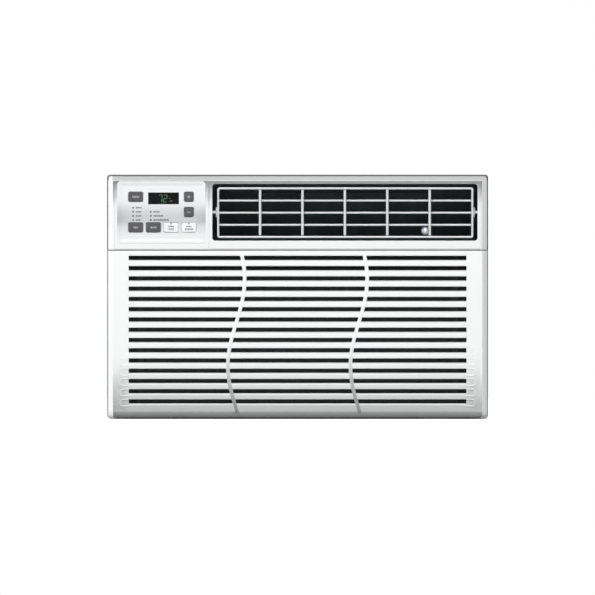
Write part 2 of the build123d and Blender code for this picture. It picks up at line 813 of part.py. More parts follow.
def cabinet_screw_holes():
    """Holes for the side screws, through the wrapper and the pan's wall."""
    ys, z = cabinet_screw_places()
    length = 2 * sheet
    starts = (cabinet_half - length, -cabinet_half)
    return [rod(screw_radius + seat_clearance, (x, y, z), length, "X") for x in starts for y in ys]


def cabinet_screws():
    """Pan-head screws along both sides of the cabinet."""
    ys, z = cabinet_screw_places()
    right = [rod(screw_radius, (cabinet_half - screw_length, y, z), screw_length, "X")
             + rod(screw_head_radius, (cabinet_half, y, z), screw_head_height, "X") for y in ys]
    return group(right + [mirror(screw, about=Plane.YZ) for screw in right])


def base_pan():
    """Steel tray on two rails, with a hole near each rail end for fastening to a sill."""
    outer = block((-pan_half, pan_half), (y_plate_back, y_case_back), (rail_height, pan_top + pan_wall_height))
    room = block(grown((-pan_half, pan_half), -sheet), grown((y_plate_back, y_case_back), -sheet),
                 (pan_top, pan_top + pan_wall_height))
    pan = outer - room
    rail_y = grown((y_plate_back, y_case_back), -rail_front_gap)
    for x in (rail_offset, -rail_offset):
        pan += block(grown((x, x), rail_width / 2), rail_y, (0, rail_height))
        pan -= [rod(sill_hole_radius, (x, y, 0), pan_top, "Z") for y in grown(rail_y, -sill_hole_inset)]
    return pan - cabinet_screw_holes()


def gland_place():
    """Middle of the cord inlet on the right side of the cabinet."""
    return (y_plate_back + gland_setback, gland_height)


def vents():
    """Slots in the sides and the top of the cabinet, near the rear."""
    cuts = []
    for i in range(vent_count):
        y = y_case_back - vent_rear_margin - vent_pitch * i
        for row in range(vent_rows):
            step = vent_length + vent_row_gap
            high = cabinet_top - vent_top_margin - step * row
            cuts.append(block((-half_width, half_width), (y - vent_width, y), (high - vent_length, high)))
            middle = step * (row - (vent_rows - 1) / 2)
            cuts.append(block(grown((middle, middle), vent_length / 2), (y - vent_width, y),
                              (cabinet_top - 2 * sheet, cabinet_top)))
    return cuts


def cabinet_wrapper():
    """Folded sheet over the top and both sides, with a flange behind the front panel's plate."""
    y = (y_plate_back, y_case_back)
    wrap = block((-cabinet_half, cabinet_half), y, (rail_height, cabinet_top))
    wrap -= block((-pan_half, pan_half), y, (rail_height, cabinet_top - sheet))
    flange_z = (pan_top + pan_wall_height + flat_clearance, z_seam_top)
    for x in ((pan_half - cabinet_flange, pan_half), (-pan_half, -pan_half + cabinet_flange)):
        wrap += block(x, (y_plate_back, y_plate_back + sheet), flange_z)
    gland_y, gland_z = gland_place()
    wrap -= rod(gland_radius + flat_clearance, (pan_half, gland_y, gland_z), sheet, "X")
    return wrap - vents() - panel_screw_holes() - cabinet_screw_holes()


def cord_gland():
    """Bush of the cord inlet: a flange outside and a sleeve through the cabinet's side."""
    y, z = gland_place()
    sleeve = rod(gland_radius, (cabinet_half - screw_length, y, z), screw_length, "X")
    bush = sleeve + rod(gland_radius + gland_flange, (cabinet_half, y, z), gland_flange, "X")
    return bush - rod(gland_bore, (cabinet_half - screw_length, y, z), screw_length + gland_flange, "X")


def rear_guard():
    """Pressed guard over the condenser, with a grid of windows."""
    x = (-cabinet_half, cabinet_half)
    z = (rail_height, cabinet_top)
    guard = block(x, (y_case_back, y_rear), z)
    guard -= block(grown(x, -guard_sheet), (y_case_back, y_rear - guard_sheet), grown(z, -guard_sheet))
    width = (x[1] - x[0] - 2 * guard_frame + guard_bar) / guard_columns
    height = (z[1] - z[0] - 2 * guard_frame + guard_bar) / guard_rows
    windows = []
    for i in range(guard_columns):
        for j in range(guard_rows):
            left = x[0] + guard_frame + width * i
            low = z[0] + guard_frame + height * j
            windows.append(block((left, left + width - guard_bar), (y_rear - guard_sheet, y_rear),
                                 (low, low + height - guard_bar)))
    return guard - windows


# Air system

def air_duct():
    """Tunnel from the blower to the discharge opening; the louvre's stubs turn in its side walls."""
    y = (y_seat, y_scroll[0])
    duct = block(grown(discharge_x, duct_wall), y, grown(discharge_z, duct_wall))
    duct -= block(discharge_x, y, discharge_z)
    width = discharge_x[1] - discharge_x[0] + 2 * duct_wall
    return duct - rod(stub_radius + running_clearance, (discharge_x[0] - duct_wall, y_louvre_axis, z_louvre_axis),
                      width, "X")


def blower_scroll():
    """Foam housing of the blower, with its inlet at the front and its outlet into the duct."""
    housing = block(grown(discharge_x, scroll_side_wall), y_scroll,
                    (z_fan - scroll_radius - scroll_floor, discharge_z[1] + duct_wall))
    room_y = y_scroll[0] + scroll_front_wall
    depth = y_scroll[1] - room_y
    housing -= rod(scroll_radius, (x_fan, room_y, z_fan), depth, "Y")
    throat = Polyline((x_fan - scroll_radius, z_fan), (discharge_x[0], discharge_z[0]),
                      (discharge_x[0], discharge_z[1]),
                      (discharge_x[1], discharge_z[1]), (discharge_x[1], discharge_z[0]),
                      (x_fan + scroll_radius, z_fan), close=True)
    back = Plane(origin=(0, y_scroll[1], 0), x_dir=(1, 0, 0), z_dir=(0, -1, 0))
    housing -= extrude(back * make_face(throat.edges()), depth)
    housing -= rod(inlet_radius, (x_fan, y_scroll[0], z_fan), scroll_front_wall, "Y")
    return housing - block(discharge_x, (y_scroll[0], room_y), discharge_z)


def bulkhead():
    """Sheet wall between the room side and the outdoor side, with holes for the shaft and the pipes."""
    wall = block((-pan_inside, pan_inside), y_bulkhead, (pan_top, cabinet_top - sheet))
    wall -= rod(bulkhead_hole_radius, (x_fan, y_bulkhead[0], z_fan), sheet, "Y")
    wall -= rod(pipe_radius + pipe_hole_gap, (x_pipe, y_bulkhead[0], suction_height), sheet, "Y")
    return wall - rod(capillary_radius + pipe_hole_gap, (x_pipe, y_bulkhead[0], liquid_height), sheet, "Y")


def blower_wheel():
    """Centrifugal wheel: back plate, ring, upright blades between them and a hub on the shaft."""
    inner = wheel_radius - wheel_ring
    wheel = rod(wheel_radius, (x_fan, wheel_y[1] - wheel_plate, z_fan), wheel_plate, "Y")
    wheel += rod(hub_radius, (x_fan, wheel_y[1] - hub_length, z_fan), hub_length, "Y")
    ring = rod(wheel_radius, (x_fan, wheel_y[0], z_fan), wheel_plate, "Y")
    wheel += ring - rod(inner, (x_fan, wheel_y[0], z_fan), wheel_plate, "Y")
    blade = block((inner + wheel_plate / 2, wheel_radius - wheel_plate / 2), wheel_y,
                  grown((0, 0), wheel_blade_thickness / 2))
    wheel += [Pos(x_fan, 0, z_fan) * Rot(0, 360 * i / wheel_blades, 0) * blade for i in range(wheel_blades)]
    return wheel - rod(shaft_radius + seat_clearance, (x_fan, wheel_y[0], z_fan), wheel_width, "Y")


def condenser_fan():
    """Axial fan with pitched blades inside a ring that throws up the drain water."""
    middle = sum(fan_y) / 2
    fan = rod(fan_hub_radius, (x_fan, fan_y[0], z_fan), fan_depth, "Y")
    ring_y = middle - fan_ring_width / 2
    hoop = rod(fan_radius + fan_ring, (x_fan, ring_y, z_fan), fan_ring_width, "Y")
    fan += hoop - rod(fan_radius, (x_fan, ring_y, z_fan), fan_ring_width, "Y")
    blade = block((fan_hub_radius / 2, fan_radius + fan_ring / 2), grown((0, 0), fan_blade_thickness / 2),
                  grown((0, 0), fan_blade_chord / 2))
    blade = Rot(fan_blade_pitch, 0, 0) * blade
    disc = rod(fan_radius + fan_ring / 2, (0, -fan_depth / 2, 0), fan_depth, "Y")
    fan += [Pos(x_fan, middle, z_fan) * Rot(0, 360 * i / fan_blades, 0) * (blade & disc)
            for i in range(fan_blades)]
    return fan - rod(shaft_radius + seat_clearance, (x_fan, fan_y[0], z_fan), fan_depth, "Y")


def motor_shaft():
    """Shaft through the motor, with the blower at its front end and the fan at its rear end."""
    start = wheel_y[1] - hub_length - motor_round
    return rod(shaft_radius, (x_fan, start, z_fan), fan_y[1] + motor_round - start, "Y")


def fan_motor():
    """Motor can, open along the shaft."""
    can = rod(motor_radius, (x_fan, motor_y[0], z_fan), motor_length, "Y")
    can = fillet(can.edges(), motor_round)
    return can - rod(shaft_radius + running_clearance, (x_fan, motor_y[0], z_fan), motor_length, "Y")


def motor_bracket():
    """Bent plate that stands on the pan and carries the motor's rear face."""
    x = grown((x_fan, x_fan), bracket_width / 2)
    y = (motor_y[1], motor_y[1] + bracket_sheet)
    bracket = block(x, y, (pan_top, z_fan + motor_radius))
    bracket += block(x, (y[0], y[1] + bracket_foot), (pan_top, pan_top + bracket_sheet))
    return bracket - rod(bracket_hole_radius, (x_fan, y[0], z_fan), bracket_sheet, "Y")


def fan_shroud():
    """Box in front of the condenser with a collar round the fan."""
    bore = fan_radius + fan_ring + shroud_gap
    y = (fan_y[1] + shroud_gap, condenser_y[0])
    shroud = block(condenser_x, y, condenser_z)
    shroud -= block(grown(condenser_x, -shroud_sheet), (y[0] + shroud_sheet, y[1]),
                    grown(condenser_z, -shroud_sheet))
    shroud += rod(bore + shroud_sheet, (x_fan, y[0] - shroud_collar, z_fan), shroud_collar + shroud_sheet, "Y")
    return shroud - rod(bore, (x_fan, y[0] - shroud_collar, z_fan), shroud_collar + shroud_sheet, "Y")


# Coils

def fin_block(x, y, z, face):
    """Finned core of a coil, grooved between its fins on the face at the depth given."""
    count = int((x[1] - x[0]) / fin_pitch)
    start = sum(x) / 2 - fin_pitch * (count - 1) / 2
    groove_y = grown((face, face), fin_groove_depth)
    grooves = [block(grown((start + fin_pitch * i,) * 2, fin_groove / 2), groove_y, z) for i in range(count)]
    return block(x, y, z) - grooves


def end_plates(x, y, z):
    """Two sheet plates at the ends of a coil."""
    right = block((x[1], x[1] + coil_plate), y, z)
    return group([right, block((x[0] - coil_plate, x[0]), y, z)])


def return_bends(x, y, left_z, right_z):
    """Rows of half-round tube bends on the outside of both end plates, between the given heights."""
    bends = []
    for side, limits in ((1, right_z), (-1, left_z)):
        face = x[1] + coil_plate if side > 0 else x[0] - coil_plate
        step = 4 * bend_radius
        count = int((limits[1] - limits[0] - 2 * (bend_radius + bend_tube)) / step) + 1
        first = sum(limits) / 2 - step * (count - 1) / 2
        for i in range(count):
            place = Plane(origin=(face, sum(y) / 2, first + step * i), x_dir=(0, 0, 1), z_dir=(0, side, 0))
            bends.append(place * Torus(bend_radius, bend_tube, major_angle=180, align=None))
    return group(bends)


def drain_tray():
    """Tray under the evaporator that catches the water."""
    x = grown(evaporator_x, coil_plate + tray_gap + tray_wall)
    y = (evaporator_y[0] - coil_plate_lip, y_scroll[0] - flat_clearance)
    tray = block(x, y, (pan_top, pan_top + tray_height))
    room_y = (y[0] + tray_wall, y[1])
    return tray - block(grown(x, -tray_wall), room_y, (pan_top + tray_wall, pan_top + tray_height))


def temperature_sensor():
    """Sensor bulb in front of the evaporator's upper edge."""
    y = evaporator_y[0] - sensor_radius - flat_clearance
    return rod(sensor_radius, (x_fan, y, evaporator_z[1] - sensor_radius), sensor_length, "X")


# Compressor and pipes

foot_angles = (-90, 30, 150)


def on_feet(radius, low, height):
    """One upright cylinder at each of the compressor's feet."""
    return [rod(radius, (compressor_x + foot_radius * cos(radians(a)),
                         compressor_y + foot_radius * sin(radians(a)), low),
                height, "Z") for a in foot_angles]


def compressor_shell():
    """Domed steel can welded to a plate with three feet."""
    can = rod(compressor_radius, (compressor_x, compressor_y, compressor_low + foot_thickness),
              compressor_height, "Z")
    can = fillet(can.edges().group_by(Axis.Z)[-1], compressor_round)
    foot = block((0, foot_radius + foot_width / 2), grown((0, 0), foot_width / 2),
                 (compressor_low, compressor_low + foot_thickness))
    can += [Pos(compressor_x, compressor_y, 0) * Rot(0, 0, a) * foot for a in foot_angles]
    return can - on_feet(bolt_radius + flat_clearance, compressor_low, foot_thickness)


def compressor_grommets():
    """Rubber feet between the plate and the base pan."""
    bores = on_feet(bolt_radius + flat_clearance, pan_top, grommet_height)
    return group(ring - bore for ring, bore in zip(on_feet(grommet_radius, pan_top, grommet_height), bores))


def compressor_nuts():
    """Studs that stand on the pan, with a nut above each foot."""
    top = compressor_low + foot_thickness
    studs = on_feet(bolt_radius, pan_top, top - pan_top + nut_height)
    return group(stud + nut for stud, nut in zip(studs, on_feet(nut_radius, top, nut_height)))


def terminal_cover():
    """Plastic cover over the compressor's terminals, close to the can."""
    x = compressor_x + compressor_radius + flat_clearance
    return block((x, x + terminal_depth), grown((compressor_y, compressor_y), terminal_width / 2),
                 (terminal_low, terminal_low + terminal_height))


def suction_accumulator():
    """Small can beside the compressor."""
    can = rod(accumulator_radius, (compressor_x, accumulator_y, accumulator_low), accumulator_height, "Z")
    return fillet(can.edges(), accumulator_radius / 2)


def tube(radius, points):
    """Round tube along straight runs joined by bends."""
    path = FilletPolyline(*points, radius=pipe_bend)
    return sweep(Plane(origin=path @ 0, z_dir=path % 0) * Circle(radius), path=path)


evaporator_end = evaporator_x[0] - coil_plate
condenser_end = condenser_x[0] - coil_plate
evaporator_mid = sum(evaporator_y) / 2
condenser_mid = sum(condenser_y) / 2
y_drier = condenser_mid - drier_gap


def suction_pipe():
    """From the evaporator's left end to the top of the accumulator."""
    return tube(pipe_radius, [(compressor_x, accumulator_y, accumulator_low + accumulator_height),
                              (compressor_x, accumulator_y, suction_height), (x_pipe, accumulator_y, suction_height),
                              (x_pipe, evaporator_mid, suction_height),
                              (evaporator_end, evaporator_mid, suction_height)])


def discharge_pipe():
    """From the top of the compressor to the condenser's left end."""
    x = compressor_x - compressor_radius / 4
    return tube(pipe_radius, [(x, compressor_y, compressor_top), (x, compressor_y, discharge_height),
                              (x_pipe, compressor_y, discharge_height), (x_pipe, condenser_mid, discharge_height),
                              (condenser_end, condenser_mid, discharge_height)])


def liquid_pipe():
    """From the condenser's left end to the drier."""
    return tube(pipe_radius, [(condenser_end, condenser_mid, liquid_height), (x_pipe, condenser_mid, liquid_height),
                              (x_pipe, y_drier, liquid_height)])


def filter_drier():
    """Drier in the liquid line."""
    can = rod(drier_radius, (x_pipe, y_drier - drier_length, liquid_height), drier_length, "Y")
    return fillet(can.edges(), drier_radius / 3)


def capillary_tube():
    """Thin tube from the drier to the evaporator's left end."""
    return tube(capillary_radius, [(x_pipe, y_drier - drier_length, liquid_height),
                                   (x_pipe, evaporator_mid, liquid_height),
                                   (evaporator_end, evaporator_mid, liquid_height)])


def coil_nodes():
    """Fins, end plates and bends of both coils; the left bends keep clear of the pipe ends."""
    plate_y = (evaporator_y[0], evaporator_y[1] + coil_plate_lip)
    evaporator_left = grown((liquid_height, suction_height), -bend_clear)
    condenser_left = grown((liquid_height, discharge_height), -bend_clear)
    return {
        "evaporator_fins": fin_block(evaporator_x, evaporator_y, evaporator_z, evaporator_y[0]),
        "evaporator_plates": end_plates(evaporator_x, plate_y, evaporator_z),
        "evaporator_bends": return_bends(evaporator_x, evaporator_y, evaporator_left,
                                         grown(evaporator_z, -bend_clear)),
        "condenser_fins": fin_block(condenser_x, condenser_y, condenser_z, condenser_y[1]),
        "condenser_plates": end_plates(condenser_x, condenser_y, condenser_z),
        "condenser_bends": return_bends(condenser_x, condenser_y, condenser_left, grown(condenser_z, -bend_clear)),
    }


def all_nodes():
    """Every node by its name."""
    makers = [base_pan, cabinet_wrapper, rear_guard, cabinet_screws, cord_gland, bulkhead, front_panel, panel_screws,
              intake_grille, grille_hinge_pins, grille_catches, filter_frame, control_panel, display_lens,
              indicator_lights, control_board, control_box, run_capacitor, louvre_frame, vane_link,
              vane_knob, air_duct, blower_scroll, blower_wheel, condenser_fan, motor_shaft, fan_motor, motor_bracket,
              fan_shroud, drain_tray, temperature_sensor, compressor_shell, compressor_grommets, compressor_nuts,
              terminal_cover, suction_accumulator, suction_pipe, discharge_pipe, liquid_pipe, filter_drier,
              capillary_tube]
    nodes = {maker.__name__: maker() for maker in makers}
    nodes["filter_mesh"] = filter_net()
    nodes.update({f"vane_{i + 1}": vane(x) for i, x in enumerate(vane_xs)})
    nodes.update({name: key(name) for name in keys})
    nodes.update(coil_nodes())
    return nodes


os.makedirs("parts", exist_ok=True)
for node_name, shape in all_nodes().items():
    export_step(shape, f"parts/{node_name}.step")
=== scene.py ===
"""Looks of a window air conditioner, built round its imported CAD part.

Places are in millimetres in the part's frame (+Z up, the front faces -Y) until a mesh is made.
"""

import bmesh
import bpy
import mathutils
import numpy as np
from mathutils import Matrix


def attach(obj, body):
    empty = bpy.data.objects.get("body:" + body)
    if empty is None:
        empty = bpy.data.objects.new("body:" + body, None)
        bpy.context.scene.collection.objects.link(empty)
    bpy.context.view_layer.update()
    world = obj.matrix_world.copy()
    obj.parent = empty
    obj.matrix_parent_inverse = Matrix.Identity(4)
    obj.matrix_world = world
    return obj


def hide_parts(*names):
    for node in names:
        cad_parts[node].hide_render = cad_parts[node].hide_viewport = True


bl_info = {
    "name": "Window air conditioner looks",
    "version": (1, 0, 0),
    "blender": (4, 5, 0),
    "location": "View3D > Sidebar > Air conditioner",
    "description": "Builds the visible surfaces and finishes of a window air conditioner",
    "category": "Object",
}

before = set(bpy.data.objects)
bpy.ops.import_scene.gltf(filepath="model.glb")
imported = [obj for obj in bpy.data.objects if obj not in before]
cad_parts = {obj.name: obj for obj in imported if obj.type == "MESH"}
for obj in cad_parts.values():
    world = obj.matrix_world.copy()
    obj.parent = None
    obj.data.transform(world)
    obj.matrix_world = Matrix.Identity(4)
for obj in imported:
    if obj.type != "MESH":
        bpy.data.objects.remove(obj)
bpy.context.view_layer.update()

MM = 0.001

# Places on the front in millimetres
FRONT = -280.0  # face of the front
TOP = 385.0  # top of the upper panel
HALF = 300.0  # half the width of the front
GRILLE_TOP = 266.0  # upper edge of the grille
GRILLE_BACK = -235.0  # back edge of the grille
RAIL = 290.6  # inner edge of the grille's end rails
SLOT_END = 266.0  # half the width of an intake slot
SLOT_HALF = 3.0  # half the height of an intake slot
BELLY = 100.0  # height below which the grille's face curves back
BELLY_RADIUS = 150.0
CHIN = 12.0  # height below which the grille's face turns into its chin
CHIN_RADIUS = 43.0
HINGE_Y = -273.0  # axis of the grille's hinge
HINGE_Z = 255.0
SWING = 254.7  # reach of the grille's low back edge from the hinge
PANEL_LOW = 266.6  # lower edge of the upper panel's skin
PANEL_BEVEL = 9.0  # width of the bevel round the upper panel
PANEL_CORNER = 4.5  # radius of the upper panel's corners
COVE = (337.0, 367.0)  # heights between which the upper face rolls back
COVE_DEPTH = 6.0
LIP = (371.2, 375.5)  # heights between which it leans out again to the lip
SKIN = 0.15  # how far the skin of the upper panel stands out from its solid


def mm(length):
    """A setting's length in millimetres."""
    return length / MM


# Surfaces

def sheet(points, wrap_rows=False, wrap_columns=False):
    """Vertices and quads of a grid of points with the shape (rows, columns, 3)."""
    rows, columns = points.shape[:2]
    index = np.arange(rows * columns).reshape(rows, columns)
    if wrap_rows:
        index = np.vstack([index, index[:1]])
    if wrap_columns:
        index = np.hstack([index, index[:, :1]])
    quads = np.stack([index[:-1, :-1], index[:-1, 1:], index[1:, 1:], index[1:, :-1]], -1)
    return points.reshape(-1, 3), quads.reshape(-1, 4)


def capped(points):
    """Closed rings in a row, shape (rings, n, 3), with each end drawn together to its middle."""
    first = np.broadcast_to(points[0].mean(0), points[0].shape)
    last = np.broadcast_to(points[-1].mean(0), points[-1].shape)
    return sheet(np.concatenate([first[None], points, last[None]]), wrap_columns=True)


def rounded(x, z, radius, per_side=2, per_corner=6):
    """Closed rounded rectangle, shape (n, 2), from its lower left side upwards.

    Each corner is a quarter circle of the given radius, whose middle lies that far in from both sides.
    """
    turn = np.linspace(0, np.pi / 2, per_corner)
    corners = [(x[0], z[1], 1, -1, np.pi), (x[1], z[1], -1, -1, np.pi / 2),
               (x[1], z[0], -1, 1, 0.0), (x[0], z[0], 1, 1, -np.pi / 2)]
    arcs = [np.stack([cx + radius * (sx + np.cos(start - turn)),
                      cz + radius * (sz + np.sin(start - turn))], -1)
            for cx, cz, sx, sz, start in corners]
    parts = []
    for i, arc in enumerate(arcs):
        before = arcs[i - 1][-1]
        share = np.linspace(0, 1, per_side + 2)[1:-1, None]
        parts += [before + (arc[0] - before) * share, arc]
    return np.concatenate(parts)


def at_depth(outline, y):
    """Outline of (x, z) pairs placed at a depth, or at one depth for each point."""
    return np.stack([outline[:, 0], np.broadcast_to(y, len(outline)), outline[:, 1]], -1)


def drawn_in(x, z, inset, radius, *counts):
    """Rounded rectangle drawn in by an inset from its limits."""
    return rounded((x[0] + inset, x[1] - inset), (z[0] + inset, z[1] - inset), radius, *counts)


def brick(x, y, z, round_edge=0.4):
    """Closed box with rounded edges, as rings of rounded rectangles stacked along Y."""
    steps = [(0, round_edge), (round_edge * 0.3, round_edge * 0.3), (round_edge, 0)]
    rings = [(y[0] + d, inset) for d, inset in steps] + [(y[1] - d, inset) for d, inset in reversed(steps)]
    outlines = [at_depth(drawn_in(x, z, inset, max(round_edge - inset, 0.05)), d) for d, inset in rings]
    return capped(np.stack(outlines))


def joined(sheets):
    """One list of vertices and one of faces from several sheets."""
    points, faces = zip(*sheets)
    starts = np.cumsum([0] + [len(part) for part in points[:-1]])
    return np.concatenate(points), np.concatenate([part + start for part, start in zip(faces, starts)])


def piece(name, sheets, finish, body, stands_for=(), sharp=35.0):
    """Mesh object from closed sheets in millimetres, which rides on a body and takes a finish."""
    points, faces = joined(sheets)
    mesh = bpy.data.meshes.new(name)
    mesh.from_pydata(points * MM, [], faces)
    work = bmesh.new()
    work.from_mesh(mesh)
    bmesh.ops.remove_doubles(work, verts=work.verts, dist=2e-6)
    bmesh.ops.dissolve_degenerate(work, edges=work.edges, dist=1e-6)
    bmesh.ops.recalc_face_normals(work, faces=work.faces)
    work.to_mesh(mesh)
    work.free()
    mesh.polygons.foreach_set("use_smooth", np.ones(len(mesh.polygons), bool))
    mesh.set_sharp_from_angle(angle=np.radians(sharp))
    mesh.materials.append(finish)
    made = bpy.data.objects.new(name, mesh)
    bpy.context.scene.collection.objects.link(made)
    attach(made, body)
    if stands_for:
        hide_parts(*stands_for)
    return made


# Shapes of the front

def cove(z):
    """Depth of the upper face: flush below, rolling back to the recess, and leaning out again to the top lip.

    y = FRONT + COVE_DEPTH s^2 (3 - 2 s) - 5.8 t, where s goes from 0 to 1 between the heights of COVE, and t
    between those of LIP.
    """
    s = np.clip((z - COVE[0]) / (COVE[1] - COVE[0]), 0, 1)
    t = np.clip((z - LIP[0]) / (LIP[1] - LIP[0]), 0, 1)
    return FRONT + COVE_DEPTH * s * s * (3 - 2 * s) - 5.8 * t


def grille_face(z):
    """Depth of the grille's face: upright, then an arc below BELLY, then a rounder chin below CHIN.

    Arc: y = FRONT + R - sqrt(R^2 - (BELLY - z)^2) with R for BELLY_RADIUS. Chin: an arc of CHIN_RADIUS that
    starts at 45 degrees.
    """
    drop = np.clip(BELLY - z, 0, BELLY - CHIN)
    belly = FRONT + BELLY_RADIUS - np.sqrt(BELLY_RADIUS ** 2 - drop ** 2)
    lean = np.sin(np.pi / 4) + np.clip(CHIN - z, 0, None) / CHIN_RADIUS
    return belly + CHIN_RADIUS * (np.cos(np.pi / 4) - np.sqrt(1 - lean ** 2))


def slot_heights():
    """Middle heights of the fifteen intake slots."""
    return np.linspace(254.15, 27.85, 15)


# Finishes

class Value:
    """A shader value; Python's operators on it make Math nodes."""

    def __init__(self, nodes, socket):
        self.nodes = nodes
        self.socket = socket

    def math(self, operation, first, second):
        """Math node on two values."""
        return self.nodes.node("ShaderNodeMath", [first, second], operation=operation)

    def __add__(self, other):
        return self.math("ADD", self, other)

    def __sub__(self, other):
        return self.math("SUBTRACT", self, other)

    def __rsub__(self, other):
        return self.math("SUBTRACT", other, self)

    def __mul__(self, other):
        return self.math("MULTIPLY", self, other)

    def __pow__(self, other):
        return self.math("POWER", self, other)

    def __abs__(self):
        return self.math("ABSOLUTE", self, 0.0)

    def sine(self):
        """Sine of the value, taken as an angle in radians."""
        return self.math("SINE", self, 0.0)

    def or_more(self, other):
        """The greater of two values."""
        return self.math("MAXIMUM", self, other)

    def above(self, edge):
        """1 where the value is greater than an edge, and 0 elsewhere."""
        return self.math("GREATER_THAN", self, edge)

    def below(self, edge):
        """1 where the value is less than an edge, and 0 elsewhere."""
        return self.math("LESS_THAN", self, edge)

    def ramp(self, start, end, low=0.0, high=1.0, way="SMOOTHSTEP"):
        """Smooth step from low at the start to high at the end, or a straight slope between them."""
        limits = {"Value": self, "From Min": start, "From Max": end, "To Min": low, "To Max": high}
        return self.nodes.node("ShaderNodeMapRange", limits, interpolation_type=way)

    __radd__ = __add__
    __rmul__ = __mul__


class Nodes:
    """Nodes of a material or of the world."""

    def __init__(self, tree):
        self.tree = tree

    def node(self, kind, inputs=(), output=0, **settings):
        """Makes a node, sets or links its inputs, and returns one of its outputs."""
        made = self.tree.nodes.new(kind)
        for key, value in settings.items():
            setattr(made, key, value)
        for key, value in inputs.items() if isinstance(inputs, dict) else enumerate(inputs):
            self.put(made.inputs[key], value)
        return Value(self, made.outputs[output])

    def put(self, socket, value):
        """Links a value to a socket, or sets the socket's constant."""
        if isinstance(value, Value):
            self.tree.links.new(value.socket, socket)
        elif isinstance(value, tuple) and len(value) == 3 and len(socket.default_value) == 4:
            socket.default_value = (*value, 1.0)
        else:
            socket.default_value = value


class Finish(Nodes):
    """A procedural material under construction, on Object coordinates in metres."""

    def __init__(self, name):
        self.material = bpy.data.materials.new(name)
        self.material.use_nodes = True
        super().__init__(self.material.node_tree)
        self.surface = self.tree.nodes["Principled BSDF"]
        self.place = self.node("ShaderNodeTexCoord", output="Object")
        self.x, self.y, self.z = (self.along(self.place, axis) for axis in "XYZ")

    def along(self, vector, axis):
        """Part of a vector along an axis."""
        return self.node("ShaderNodeSeparateXYZ", [vector], output=axis)

    def facing(self, axis):
        """Part of the surface's normal along an axis of the object, from -1 to 1."""
        return self.along(self.node("ShaderNodeTexCoord", output="Normal"), axis)

    def noise(self, scale, detail=2.0, stretch=(1.0, 1.0, 1.0)):
        """Noise from 0 to 1 whose grains are about 1 / scale metres, drawn out where stretch is under 1."""
        drawn = self.node("ShaderNodeMapping", {"Vector": self.place, "Scale": stretch})
        return self.node("ShaderNodeTexNoise", {"Vector": drawn, "Scale": scale, "Detail": detail})

    def blend(self, share, first, second):
        """Colour that goes from the first to the second as the share goes from 0 to 1."""
        return self.node("ShaderNodeMix", {0: share, 6: first, 7: second}, output=2, data_type="RGBA")

    def bump(self, height, distance, strength=1.0):
        """Relief of a height value, with its depth in metres."""
        relief = {"Height": height, "Distance": distance, "Strength": strength}
        self.put(self.surface.inputs["Normal"], self.node("ShaderNodeBump", relief, output="Normal"))

    def set(self, **inputs):
        """Sets inputs of the surface; underscores stand for spaces."""
        for key, value in inputs.items():
            self.put(self.surface.inputs[key.replace("_", " ")], value)
        return self.material


def tone(colour, factor):
    """A colour made lighter or darker by a factor."""
    return tuple(min(1.0, part * factor) for part in colour)


def moulded(name, colour, roughness, grain=1400.0, depth=0.00002, gloss=0.3, layers=()):
    """Moulded plastic: fine grain, patches a little duller with handling, and faint dust.

    Each layer is a function that gives a share of the surface, a strength, and a factor on the colour there.
    """
    made = Finish(name)
    patch = made.noise(9.0, 4.0)
    dust = made.noise(60.0, 6.0).ramp(0.62, 0.8)
    shade = made.blend(patch, tone(colour, 0.985), colour)
    shade = made.blend(dust * 0.05, shade, tone(colour, 0.8))
    # Layers of painted shade, where a finish gives them.
    for layer, strength, factor in layers:
        shade = made.blend(layer(made) * strength, shade, tone(colour, factor))
    made.bump(made.noise(grain, 3.0), depth)
    return made.set(Base_Color=shade, Roughness=patch.ramp(0.3, 0.7, roughness - 0.04, roughness + 0.05),
                    Specular_IOR_Level=gloss)


def painted_top_shade(made):
    """Share of painted shade on what faces up."""
    return made.facing("Z").ramp(0.05, 0.5)


def top_bevel_shade(made):
    """Share of the painted shade on the bevel along the top, between the ends of the upper panel."""
    up = made.facing("Z")
    return up.ramp(0.05, 0.5) * up.ramp(0.97, 0.85) * made.x.ramp(-0.2925, -0.2900) * made.y.below(-0.268)


def round_shade(made):
    """Share of the painted shade on the rounds where bevels turn into the outer walls, and along the tops of
    the slats.
    """
    turned = abs(made.facing("X")).or_more(made.facing("Z"))
    return turned.ramp(0.74, 0.86) - turned.ramp(0.985, 0.999)


def panel_end_shade(made):
    """Share of the painted shade on the low part of the grille's face beyond the slots, round the raised
    loops.

    What stands out from the arc of the grille's face is a loop, which stays pale.
    """
    side = abs(made.x)
    drop = BELLY * MM - made.z
    arc_depth = (FRONT + BELLY_RADIUS) * MM - ((BELLY_RADIUS * MM) ** 2 - drop ** 2.0) ** 0.5
    flat = (arc_depth - made.y).ramp(0.00025, 0.00005)
    low = made.z.ramp(0.085, 0.045) * made.z.ramp(0.010, 0.020)
    return side.ramp(0.262, 0.276) * side.below(0.29055) * low * flat


def rib_low_shade(made):
    """Share of the painted shade on the low ends of the ribs."""
    return made.z.ramp(0.14, 0.03)


def panel_edge_shade(made):
    """Share of the painted shade line where the bevel of the upper panel turns into its outer walls."""
    side = abs(made.x).above(0.2913) * made.z.below(0.382) * made.y.ramp(-0.2733, -0.2725)
    top = made.z.above(0.3765) * made.y.ramp(-0.2745, -0.2730) * 0.85
    return (side + top).ramp(0.0, 1.0, way="LINEAR") * made.y.below(-0.2695) * made.z.above(0.266)


def recess_shade(made):
    """Share of the painted shade that deepens up the recess under the top lip."""
    deep = made.z.ramp(0.332, 0.366, way="LINEAR") * made.z.ramp(0.3718, 0.3708, 0.35, 1.0)
    return deep * made.z.below(0.3757) * abs(made.x).below(0.2906)


